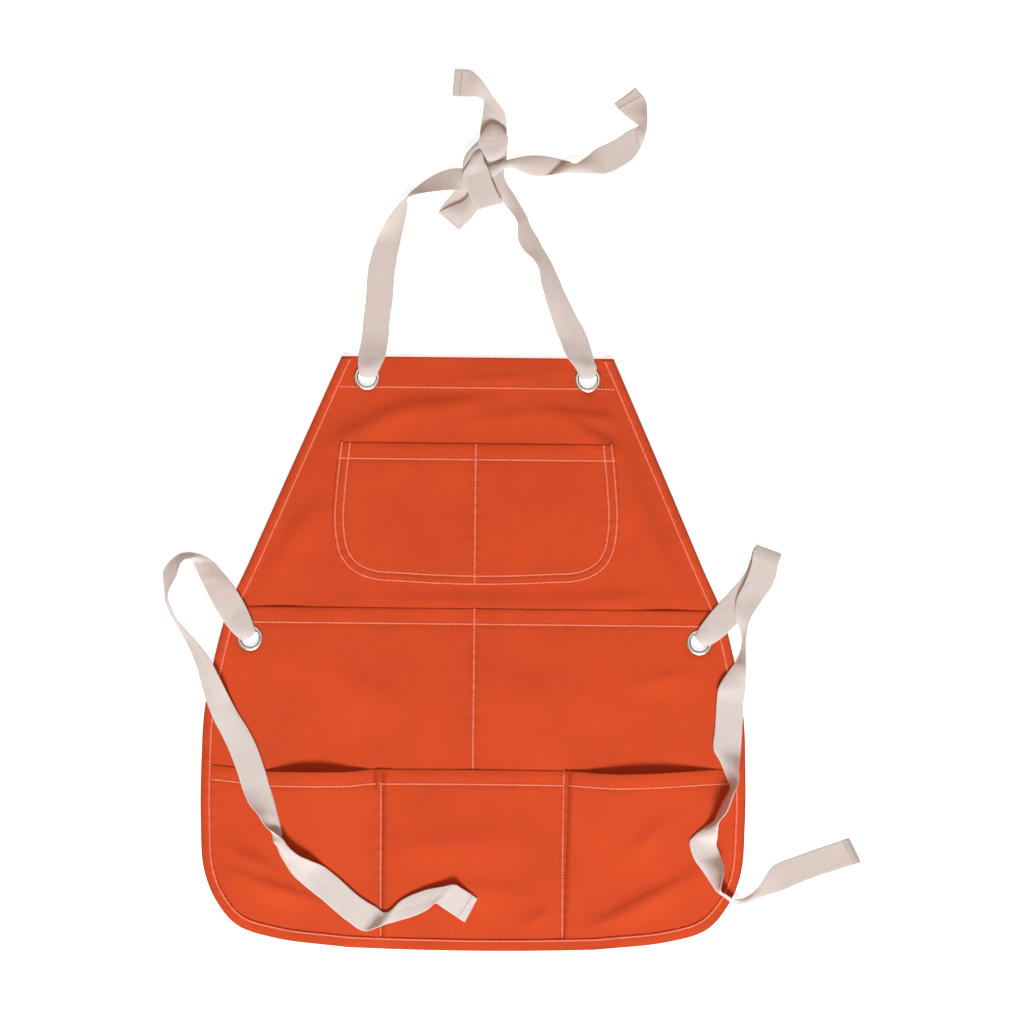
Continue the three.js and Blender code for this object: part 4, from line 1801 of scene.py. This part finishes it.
@dataclass
class Tape:
    """A woven tape that lies in folds and turns.

    Attributes:
        stretches: Its sections; the first stretch ends in the free end's hem.
        selvedge: Rise, place across the half width and width of the thicker yarns along its edges.
        squareness: How square its edges are; higher is squarer.
        eyelet_reach: Length that goes down into its eyelet.
        curl: Height and length of the slow curling across it.
        wander: Width and length of the quick wandering along it.
        pattern: How far apart the tapes lie in the pattern of both.
        hem_extra: Extra thickness of the hem, as a share.
        end_row: Points of that row, once the tape is built.
    """

    name: str
    node: str
    stretches: Sequence[Sequence[tuple]]
    width: float = 25.0
    thickness: float = 1.0
    selvedge: tuple[float, float, float] = (0.1, 0.88, 0.08)
    squareness: int = 40
    steps: int = 8
    lowest: float = 0.1
    clear: float = 0.15
    eyelet_reach: float = 14.0
    curl: tuple[float, float] = (0.35, 38.0)
    wander: tuple[float, float] = (0.25, 9.0)
    pattern: float = 50.0
    hem: float = 10.0
    hem_extra: float = 0.5
    hem_row: float = 7.0
    row_height: float = 0.1
    end_row: np.ndarray = field(default_factory=lambda: np.zeros((0, 3)))

    def rails(self, rows: Sequence[tuple]) -> tuple[np.ndarray, np.ndarray, np.ndarray, np.ndarray]:
        """Both edges, the cupping and the rolling along one stretch.

        Args:
            rows: The stretch's sections.

        Returns:
            Points of the left edge, points of the right edge, the rise of the middle, and how far it
            rolls out along the tape's face.
        """
        sections = [TapeSection(*row) for row in rows]
        pairs = np.array([section.edges(self.width, self.thickness) for section in sections])
        left, right = (smooth_curve(pairs[:, side], self.steps) for side in (0, 1))
        for edge in (left, right):
            edge[:, 2] = np.maximum(edge[:, 2], self.lowest + self.thickness / 2)
        places = np.arange(len(left)) / self.steps
        given = np.arange(len(sections))
        cups = np.interp(places, given, [section.cup(self.width) for section in sections])
        rolls = np.interp(places, given, [section.roll for section in sections])
        return left, right, cups, rolls

    def length(self) -> float:
        """Length of all stretches along their middles, in metres."""
        rails = [self.rails(rows) for rows in self.stretches]
        return sum(distances((left + right) / 2)[-1] for left, right, *_ in rails) * MM

    def frames(self, left: np.ndarray, right: np.ndarray) -> np.ndarray:
        """Directions that the tape's face looks in, one for each section.

        Args:
            left: Points of the left edge.
            right: Points of the right edge.

        Returns:
            The directions, one a row.
        """
        along = np.gradient((left + right) / 2, axis=0)
        face = np.cross(right - left, along)
        return face / np.maximum(np.linalg.norm(face, axis=1), TINY)[:, None]

    def across_hem(self, rings: np.ndarray, arc: np.ndarray) -> np.ndarray:
        """The row of stitching across the free end's hem, in the part's frame in metres.

        Args:
            rings: Points of each section.
            arc: Distance of each section along the tape.

        Returns:
            Points on the face that looks up, without the rounded edges.
        """
        ring = rings[int(np.argmin(np.abs(arc - (arc[-1] - self.hem_row))))]
        count = len(TAPE_SHARES)
        faces = [ring[2 : count - 2], ring[count + 1 : -1]]
        upper = max(faces, key=lambda face: face[:, 2].mean())
        return (upper + (0, 0, self.row_height)) * MM

    def half_thickness(self, share: np.ndarray) -> np.ndarray:
        """Half its thickness at places across it, with thicker selvedges and rounded edges.

        Args:
            share: Places from the left edge, -1, to the right edge, 1.

        Returns:
            Half the thickness at each place.
        """
        rise, place, width = self.selvedge
        square = np.sqrt(np.clip(1 - np.abs(share) ** self.squareness, 0, 1))
        return self.thickness / 2 * square + rise * bell(np.abs(share) - place, width)

    def shell(self, rows: Sequence[tuple], hemmed: bool, ground: Heights) -> tuple[np.ndarray, np.ndarray]:
        """One stretch as a closed shell.

        Args:
            rows: The stretch's sections.
            hemmed: Whether it ends in a hem.
            ground: Height of what is under the tape.

        Returns:
            Points of each section, and their weave coordinates.
        """
        left, right, cups, rolls = self.rails(rows)
        arc = distances((left + right) / 2)
        face = self.frames(left, right)
        count = len(TAPE_SHARES)
        loop = np.concatenate([np.arange(count), np.arange(count - 2, 0, -1)])
        share = np.array(TAPE_SHARES)[loop]
        half = self.half_thickness(share) * np.where(np.arange(len(loop)) < count, 1, -1)
        start_x, start_y, _ = left[0] / self.pattern
        points = []
        weave = []
        for i, place in enumerate(arc):
            thick = 1 + self.hem_extra * (hemmed and place > arc[-1] - self.hem)
            curl = self.curl[0] * noise.noise((place / self.curl[1], start_x, CURL_SLICE))
            aside = self.wander[0] * noise.noise((place / self.wander[1], WANDER_SLICE, start_y))
            across = right[i] - left[i]
            middle = (left[i] + right[i]) / 2 + across / self.width * aside
            upward = 1 if face[i][2] >= 0 else -1
            bow = upward * (cups[i] + curl) + rolls[i]
            lift = bow * (1 - share**2) + half * thick
            points.append(middle + share[:, None] * across / 2 + lift[:, None] * face[i])
            weave.append(np.column_stack([(share + 1) / 2, np.full(len(share), place / self.width)]))
        rings = self.settled(np.array(points), arc, ground)
        if hemmed:
            self.end_row = self.across_hem(rings, arc)
        return rings, np.array(weave)

    def settled(self, rings: np.ndarray, arc: np.ndarray, ground: Heights, reach: int = 3) -> np.ndarray:
        """Sections lifted where the tape would sink into what it lies on.

        Args:
            rings: Points of each section.
            arc: Distance of each section along the tape.
            ground: Height of what is under the tape.
            reach: How many sections on either side share a lift.

        Returns:
            The lifted points.
        """
        flat = rings.reshape(-1, 3)
        short = (ground(flat[:, 0], flat[:, 1]) + self.clear - flat[:, 2]).reshape(rings.shape[:2])
        need = np.maximum(short.max(axis=1), 0) * (arc > self.eyelet_reach)
        wide = np.array([need[max(0, i - reach) : i + reach + 1].max() for i in range(len(need))])
        kernel = np.ones(2 * reach + 1) / (2 * reach + 1)
        rings[:, :, 2] += np.convolve(np.pad(wide, reach, mode="edge"), kernel, mode="valid")[:, None]
        return rings

    def build(self, finish: bpy.types.Material, ground: Heights) -> bpy.types.Object:
        """The tape as one piece.

        Args:
            finish: Its material.
            ground: Height of what is under the tape.

        Returns:
            The piece.
        """
        points, faces, weave = [], [], []
        start = 0
        for number, rows in enumerate(self.stretches):
            rings, marks = self.shell(rows, number == 0, ground)
            faces += [[start + i for i in quad] for quad in tube_faces(*rings.shape[:2])]
            points.append(rings.reshape(-1, 3))
            weave.append(marks.reshape(-1, 2))
            start += len(points[-1])
        made = add_mesh(self.name, np.vstack(points) * MM, faces)
        face_outwards(made)
        corners = np.zeros(len(made.data.loops), np.int32)
        made.data.loops.foreach_get("vertex_index", corners)
        unrolled = np.vstack(weave)[corners].astype(np.float32)
        made.data.uv_layers.new(name="weave").data.foreach_set("uv", unrolled.ravel())
        place_piece(made, finish, Slot.TAPE, self.node)
        self.length()
        return made


# Stitching


@dataclass
class Stitching:
    """Rows of lockstitch, laid along lines by a node tree.

    Attributes:
        rows: Points of each row in the part's frame, in metres.
        pitch: Distance from one stitch to the next.
        length: Length of a stitch, a little more than the pitch where the thread shows unbroken.
        uneven: The smallest and the largest stitch, as shares.
        sides: Segments and rings of a stitch.
    """

    rows: list[np.ndarray] = field(default_factory=list)
    name: str = "seam_stitches"
    pitch: float = 0.0029
    length: float = 0.004
    width: float = 0.0022
    height: float = 0.0008
    seed: int = 7
    uneven: Ends = (0.9, 1.06)
    sides: tuple[int, int] = (6, 4)

    def add(self, points: np.ndarray) -> None:
        """Adds a row."""
        self.rows.append(points)

    def sizes(self) -> dict[str, float]:
        """The named inputs of the node tree."""
        sizes = (self.pitch, self.length, self.width, self.height)
        return dict(zip(("Pitch", "Length", "Width", "Height"), sizes)) | {"Seed": self.seed}

    def tree(self, finish: bpy.types.Material) -> tuple[bpy.types.NodeTree, dict[str, str]]:
        """The node tree that lays stitches along the rows.

        Args:
            finish: The thread's material.

        Returns:
            The tree, and the identifier of each named input.
        """
        tree = bpy.data.node_groups.new("lockstitch_row", "GeometryNodeTree")
        tree.interface.new_socket("Rows", in_out="INPUT", socket_type="NodeSocketGeometry")
        tree.interface.new_socket("Stitches", in_out="OUTPUT", socket_type="NodeSocketGeometry")
        names = {}
        for name, value in self.sizes().items():
            kind = "NodeSocketInt" if isinstance(value, int) else "NodeSocketFloat"
            names[name] = tree.interface.new_socket(name, in_out="INPUT", socket_type=kind).identifier
        nodes = Nodes(tree)
        given = nodes.node("NodeGroupInput").outputs
        curve = nodes.node("GeometryNodeMeshToCurve", {"Mesh": given["Rows"]})
        along = {"Curve": curve.outputs["Curve"], "Length": given["Pitch"]}
        spots = nodes.node("GeometryNodeCurveToPoints", along, mode="LENGTH")
        segments, rings = self.sides
        bead = nodes.node("GeometryNodeMeshUVSphere", {"Segments": segments, "Rings": rings, "Radius": 0.5})
        size = nodes.node("ShaderNodeCombineXYZ", {0: given["Length"], 1: given["Width"], 2: given["Height"]})
        stitch = {"Geometry": bead.outputs["Mesh"], "Scale": size.outputs[0]}
        shaped = nodes.node("GeometryNodeTransform", stitch)
        align = "FunctionNodeAlignRotationToVector"
        turn = nodes.node(align, {"Vector": spots.outputs["Tangent"]}, axis="X")
        upright = {"Rotation": turn.outputs["Rotation"], "Vector": (0, 0, 1)}
        stand = nodes.node(align, upright, axis="Z", pivot_axis="X")
        smallest, largest = self.uneven
        chance = {2: smallest, 3: largest, "Seed": given["Seed"]}
        jitter = nodes.node("FunctionNodeRandomValue", chance, data_type="FLOAT")
        laid = nodes.node("GeometryNodeInstanceOnPoints", {
            "Points": spots.outputs["Points"],
            "Instance": shaped.outputs["Geometry"],
            "Rotation": stand.outputs["Rotation"],
            "Scale": jitter.outputs[1],
        })
        real = nodes.node("GeometryNodeRealizeInstances", {"Geometry": laid.outputs["Instances"]})
        dressed = {"Geometry": real.outputs["Geometry"], "Material": finish}
        dress = nodes.node("GeometryNodeSetMaterial", dressed)
        nodes.node("NodeGroupOutput", {"Stitches": dress.outputs["Geometry"]})
        return tree, names

    def build(self, finish: bpy.types.Material) -> bpy.types.Object:
        """All rows as one plain mesh.

        Args:
            finish: The thread's material.

        Returns:
            The piece.
        """
        points, edges = [], []
        for row in self.rows:
            start = len(points)
            points += row.tolist()
            edges += [(start + i, start + i + 1) for i in range(len(row) - 1)]
        guide = bpy.data.meshes.new("stitch_lines")
        guide.from_pydata(points, edges, [])
        lines = add_object("stitch_lines", guide)
        tree, names = self.tree(finish)
        modifier = lines.modifiers.new("lockstitch", "NODES")
        modifier.node_group = tree
        for name, value in self.sizes().items():
            modifier[names[name]] = value
        seen = lines.evaluated_get(bpy.context.evaluated_depsgraph_get())
        mesh = bpy.data.meshes.new_from_object(seen)
        bpy.data.objects.remove(lines)
        mesh.name = self.name
        mesh.shade_smooth()
        made = add_object(self.name, mesh)
        place_piece(made, finish, None)
        return made


# The apron


@dataclass(frozen=True)
class Pleat:
    """Slack cloth of the lower pocket, folded beside a divider.

    Attributes:
        start: Where it begins to rise across the apron, and where it is full.
        foot: Place of its far edge at the bottom.
        slant: How much further across its far edge lies at the mouth.
        fall: Where it ends beside its far edge.
        rise: Its height.
        beyond: Height of the slack cloth past its far edge.
        reach: How far that cloth goes.
    """

    start: tuple[float, float]
    foot: float
    slant: float
    fall: tuple[float, float]
    rise: float
    beyond: float
    reach: float

    def height(self, x: np.ndarray, up: np.ndarray) -> np.ndarray:
        """Its height above the flat cloth.

        Args:
            x: Places across the apron.
            up: Places from the bottom edge, 0, to the mouth, 1.

        Returns:
            The height at each place.
        """
        edge = self.foot + self.slant * up
        begin, end = self.fall
        strip = smoothstep(x, *self.start) * (1 - smoothstep(x, edge + begin, edge + end))
        past = (x >= edge) * bell(x - edge, self.reach)
        return self.rise * strip + self.beyond * past


PLEATS = [
    Pleat((-91.4, -89.8), -82.6, 0.0, (-1.2, -0.2), 1.1, 1.0, 8.0),
    Pleat((83.0, 84.2), 84.8, 3.8, (-0.7, 0.0), 1.7, 1.3, 9.0),
]


@dataclass
class ApronCloth:
    """All cloth of the apron and the rows that hold it together.

    Attributes:
        mouth_steps: Points along a row below the lower pocket's mouth, and along its edge.
        bottom_slack: Share of a pleat's slack that is left at the bottom edge.
        strip_insets: Edge of the ground under the tapes, and inner edge of the binding on it.
        strip_lift: Extra height of that binding.
    """

    row_step: float = 2.4
    row_lift: float = 0.3
    mouth_steps: tuple[int, int] = (24, 160)
    bottom_slack: float = 0.35
    crease_depth: float = 2.6
    crease_width: float = 0.9
    strip_insets: tuple[float, float] = (-0.6, 11.5)
    strip_lift: float = 0.2

    def __post_init__(self) -> None:
        """Lays out the rows of stitching, seen from above."""
        bib_row = TOP_EDGE - BIB_ROW
        bib_end = float(half_width(bib_row)) - BIB_ROW_INSET
        self.bib_hem = Seam("bib hem", self.level_row(bib_row, -bib_end, bib_end))
        chest_row = CHEST_LINE - MOUTH_ROW
        chest_end = CHEST_SECTIONS[0].half
        chest_lines = [outline_of(CHEST_SECTIONS, inset) for inset in CHEST_INSETS]
        first, second = (resample(line, CHEST_ROW_STEP) for line in chest_lines)
        self.chest_rows = [
            Seam("chest pocket edge", first),
            Seam("chest pocket second row", second),
            Seam("chest pocket divider", np.array(CHEST_DIVIDER)),
            Seam("chest pocket hem", self.level_row(chest_row, -chest_end, chest_end)),
        ]
        waist_row = WAIST_LINE - MOUTH_ROW
        left, right = WAIST_ROW_ENDS
        middle = WAIST_DIVIDER[0][0]
        self.waist_rows = [
            Seam("waist divider", np.array(WAIST_DIVIDER)),
            Seam("waist hem left", self.level_row(waist_row, left, middle)),
            Seam("waist hem right", self.level_row(waist_row, middle, right)),
        ]
        self.lower_rows = [
            Seam("left divider", np.array(LEFT_DIVIDER)),
            Seam("right divider", np.array(RIGHT_DIVIDER)),
            *(Seam(name, self.mouth_row(*ends)) for name, ends in LOWER_ROW_ENDS.items()),
        ]
        binding = Seam("binding", resample(outline_of(APRON_SECTIONS, BINDING_ROW_INSET), BINDING_ROW_STEP))
        self.laid = LaidCloth([self.bib_hem, *self.chest_rows, *self.waist_rows, *self.lower_rows, binding])

    def level_row(self, height: float, start: float, end: float) -> np.ndarray:
        """A level row between two places across the apron."""
        return np.array([(start, height), (end, height)])

    def mouth_row(self, start: float, end: float) -> np.ndarray:
        """A row below the lower pocket's mouth."""
        x = np.linspace(start, end, self.mouth_steps[0])
        return np.column_stack([x, lower_mouth(x) - LOWER_ROW])

    def pressed(self, places: Sequence[EyeletPlace]) -> list[Seam]:
        """Rings where eyelets press into the cloth."""
        ring = circle(EYELET_COVER, EYELET_STEPS, closed=True)
        return [Seam(place.node, ring + (place.x, place.y), 0.0) for place in places]

    def body(self) -> ClothPanel:
        """The bib and skirt in one cloth, with the bib's top edge folded over.

        Returns:
            The panel.
        """
        hem_line = TOP_EDGE - BIB_HEM
        bib_holes = [place for place in EYELET_PLACES if place.y > WAIST_LINE]
        return ClothPanel(
            name="apron_body",
            node="body_panel",
            outline=outline_of(APRON_SECTIONS, PANEL_INSET),
            low=lambda x, y: LAYERS.body + self.laid(x, y),
            thickness=lambda x, y: LAYERS.cloth * (1 + smoothstep(y, hem_line, hem_line + HEM_STEP)),
            rows=[self.bib_hem, *self.pressed(bib_holes)],
            flat=(0.5, 0.575),
            area=0.225,
            holes=EYELET_PLACES,
        )

    def hang(self, height: float, mouth: PocketMouth) -> dict[str, Heights]:
        """Underside and thickness of a cloth that is open along its top edge.

        Args:
            height: Height of its underside where it is closed.
            mouth: How it stands open.

        Returns:
            Both, by the names of a panel's fields.
        """
        return {
            "low": lambda x, y: height + self.laid(x, y) + mouth.opening(x, y),
            "thickness": lambda x, y: LAYERS.cloth + mouth.hem(x, y),
        }

    def chest(self) -> ClothPanel:
        """The patch pocket on the bib.

        Returns:
            The panel.
        """
        return ClothPanel(
            name="chest_pocket_cloth",
            node="chest_pocket",
            outline=outline_of(CHEST_SECTIONS, 0.0),
            rows=self.chest_rows,
            flat=(0.266, 0.15),
            area=0.0365,
            **self.hang(LAYERS.pocket, PocketMouth(CHEST_MOUTHS, level(CHEST_LINE), CHEST_REACH)),
        )

    def waist(self) -> ClothPanel:
        """The second cloth, from the waist down.

        Returns:
            The panel.
        """
        holes = [place for place in EYELET_PLACES if place.y < WAIST_LINE]
        return ClothPanel(
            name="waist_panel_cloth",
            node="waist_panel",
            outline=outline_of(APRON_SECTIONS, PANEL_INSET, WAIST_SECTION),
            rows=[*self.waist_rows, *self.pressed(holes)],
            flat=(0.5, 0.334),
            area=0.155,
            holes=holes,
            **self.hang(LAYERS.pocket, PocketMouth(WAIST_MOUTHS, level(WAIST_LINE), WAIST_REACH)),
        )

    def lower(self) -> ClothPanel:
        """The third cloth across the bottom, with a pleat beside each divider.

        Returns:
            The panel.
        """
        sides = outline_of(APRON_SECTIONS, PANEL_INSET, MOUTH_SECTION)
        across = np.linspace(sides[-1][0], sides[0][0], self.mouth_steps[1])[1:-1]
        hung = self.hang(LAYERS.lower, PocketMouth(LOWER_MOUTHS, lower_mouth, LOWER_REACH))
        creases = [Seam(name, np.array(line, float)) for name, line in PLEAT_CREASES.items()]

        def pleated(x: np.ndarray, y: np.ndarray) -> np.ndarray:
            """Thickness of the cloth with its pleats and the sharp lines beside them.

            Args:
                x: Places across the apron.
                y: Places along the apron.

            Returns:
                The thickness at each place.
            """
            up = np.clip(y / LOWER_LINE, 0, 1)
            slack = self.bottom_slack + (1 - self.bottom_slack) * up
            thick = hung["thickness"](x, y) + sum(pleat.height(x, up) for pleat in PLEATS) * slack
            for crease in creases:
                distance, _ = crease.near(x, y)
                thick = thick - self.crease_depth * bell(distance, self.crease_width)
            return thick

        return ClothPanel(
            name="lower_pocket_cloth",
            node="lower_pocket",
            outline=np.vstack([sides, np.column_stack([across, lower_mouth(across)])]),
            low=hung["low"],
            thickness=pleated,
            rows=self.lower_rows,
            flat=(0.5, 0.186),
            area=0.087,
            creases=creases,
        )

    def ground(self, panels: Sequence[ClothPanel], binding: EdgeBinding) -> Heights:
        """Height of the laid apron, and of the floor round it, in the part's frame in millimetres.

        Args:
            panels: The apron's panels.
            binding: The strip round its edge.

        Returns:
            A function of places in the part's frame.
        """
        edge, inner = (outline_of(APRON_SECTIONS, inset) for inset in self.strip_insets)

        def height(x: np.ndarray, y: np.ndarray) -> np.ndarray:
            """The topmost cloth at each place.

            Args:
                x: Places across the part's frame.
                y: Places along it.

            Returns:
                The heights.
            """
            x, y = x - APRON_X, y - APRON_Y
            spots = np.stack([x, y], axis=1)
            tops = np.zeros(x.shape)
            for panel in panels:
                within = inside(spots, panel.outline)
                if within.any():
                    tops[within] = np.maximum(tops[within], panel.top(x[within], y[within]))
            strip = inside(spots, edge) & ~inside(spots, inner)
            if strip.any():
                face = binding.stack(y[strip]) + LAYERS.cloth + self.laid(x[strip], y[strip])
                tops[strip] = np.maximum(tops[strip], face + self.strip_lift)
            return tops

        return height

    def face_rows(self, panel: ClothPanel, row: Seam) -> list[np.ndarray]:
        """A row of stitching on a panel's face, without what an eyelet covers.

        Args:
            panel: The panel.
            row: The row, seen from above.

        Returns:
            Points of each stretch, in the part's frame.
        """
        line = resample(row.line, self.row_step)
        shown = np.all([place.away(line) > EYELET_COVER for place in EYELET_PLACES], axis=0)
        spots = to_frame(np.column_stack([line, panel.top(*line.T) + self.row_lift]))
        breaks = np.flatnonzero(np.diff(shown.astype(int))) + 1
        stretches = zip(np.split(spots, breaks), np.split(shown, breaks))
        return [stretch for stretch, seen in stretches if seen[0] and len(stretch) > 1]


# Studio


@dataclass(frozen=True)
class Lamp:
    """A square soft lamp that points at the apron, with its power in watts."""

    name: str
    place: tuple[float, float, float]
    size: float
    power: float
    colour: Colour

    def build(self) -> None:
        """The lamp, turned to the middle of the floor."""
        light = bpy.data.lights.new(self.name, "AREA")
        light.shape = "SQUARE"
        light.size = self.size
        light.energy = self.power
        light.color = self.colour
        made = add_object(self.name, light)
        made.location = self.place
        made.rotation_euler = (-Vector(self.place)).to_track_quat("-Z", "Y").to_euler()


@dataclass
class Studio:
    """Floor, light and camera of the photograph: straight above, lit from the apron's bottom edge.

    Attributes:
        look: The point on the floor in the middle of the view.
        turn: How far the view is turned, in radians.
        frame: Width of the view on the floor.
        distance: Height of the camera.
        clip: The nearest and the furthest distance that the camera sees.
        floor_drop: How far the floor lies under the apron.
        lamps: A key lamp from the bottom edge and a soft fill from above.
    """

    look: tuple[float, float] = (-0.002, -0.0024)
    turn: float = 0.0105
    frame: float = 0.942
    distance: float = 2.6
    sensor: float = 36.0
    clip: Ends = (0.05, 50.0)
    floor_half: float = 6.0
    floor_drop: float = 5e-5
    lamps: Sequence[Lamp] = (
        Lamp("key", (0.25, -3.4, 3.2), 1.2, 258.0, (0.862, 0.948, 1.0)),
        Lamp("fill", (-0.3, 1.2, 4.0), 3.0, 28.0, (1.0, 0.85, 0.75)),
    )
    surround: Colour = (1.0, 0.78, 0.65)
    surround_strength: float = 0.22

    def floor(self) -> None:
        """A wide pale floor just under the apron."""
        corners = self.floor_half * np.array([(-1, -1), (1, -1), (1, 1), (-1, 1)], float)
        points = np.column_stack([corners, np.full(len(corners), -self.floor_drop)])
        made = add_mesh("floor", points, [[0, 1, 2, 3]])
        made.data.materials.append(FLOOR.material())

    def camera(self) -> None:
        """A long lens straight above."""
        lens = bpy.data.cameras.new("above")
        lens.sensor_width = self.sensor
        lens.lens = self.sensor * self.distance / self.frame
        lens.clip_start, lens.clip_end = self.clip
        made = add_object("above", lens)
        made.location = (*self.look, self.distance)
        made.rotation_euler = (0, 0, self.turn)
        bpy.context.scene.camera = made

    def light(self) -> None:
        """The lamps and a pale surround."""
        for lamp in self.lamps:
            lamp.build()
        world = bpy.data.worlds.new("studio")
        world.use_nodes = True
        background = world.node_tree.nodes["Background"].inputs
        background["Color"].default_value = (*self.surround, 1)
        background["Strength"].default_value = self.surround_strength
        bpy.context.scene.world = world
        bpy.context.scene.view_settings.view_transform = "Standard"
        bpy.context.scene.view_settings.look = "None"

    def build(self) -> None:
        """The whole studio."""
        self.floor()
        self.camera()
        self.light()


TAPES = [
    Tape("neck_tape_left_weave", "neck_tape_left", [NECK_LEFT, NECK_LOOP]),
    Tape("neck_tape_right_weave", "neck_tape_right", [NECK_RIGHT, NECK_TONGUE, NECK_LOBE, NECK_CURL]),
    Tape("waist_tie_left_weave", "waist_tie_left", [TIE_LEFT]),
    Tape("waist_tie_right_weave", "waist_tie_right", [TIE_RIGHT]),
]


def clear_scene() -> None:
    """Removes what a new scene holds beside the part."""
    kept = {*frame["nodes"].values(), *frame["bodies"].values()}
    for other in [o for o in bpy.data.objects if o not in kept]:
        bpy.data.objects.remove(other)


def main() -> None:
    """Builds the studio and every piece in order."""
    logging.basicConfig(level=logging.INFO, format="%(name)s %(message)s")
    clear_scene()
    Studio().build()
    canvas, cotton = CANVAS.material(), COTTON.material()
    plate, thread = PLATE.material(), THREAD.material()
    stitching = Stitching()
    tape_rows = Stitching(name="tape_end_stitches", length=0.003, width=0.001)
    apron = ApronCloth()
    panels = [
        (apron.body(), [apron.bib_hem]),
        (apron.chest(), apron.chest_rows),
        (apron.waist(), apron.waist_rows),
        (apron.lower(), apron.lower_rows),
    ]
    for panel, rows in panels:
        panel.build(canvas)
        for row in rows:
            for stretch in apron.face_rows(panel, row):
                stitching.add(stretch)
            LOG.info("%s: stitched", row.name)
    binding = EdgeBinding(apron.laid)
    binding.build(canvas)
    stitching.add(to_frame(binding.row()))
    for place in EYELET_PLACES:
        Eyelet(place).build(plate)
    ground = apron.ground([panel for panel, _ in panels], binding)
    for tape in TAPES:
        tape.build(cotton, ground)
        tape_rows.add(tape.end_row)
        LOG.info("%s is %.3f m long", tape.name, tape.length())
    stitching.build(thread)
    tape_rows.build(UNDYED.material())
    write_sizes()


def write_sizes() -> None:
    """Updates the view layer."""
    bpy.context.view_layer.update()


if __name__ == "__main__":
    main()
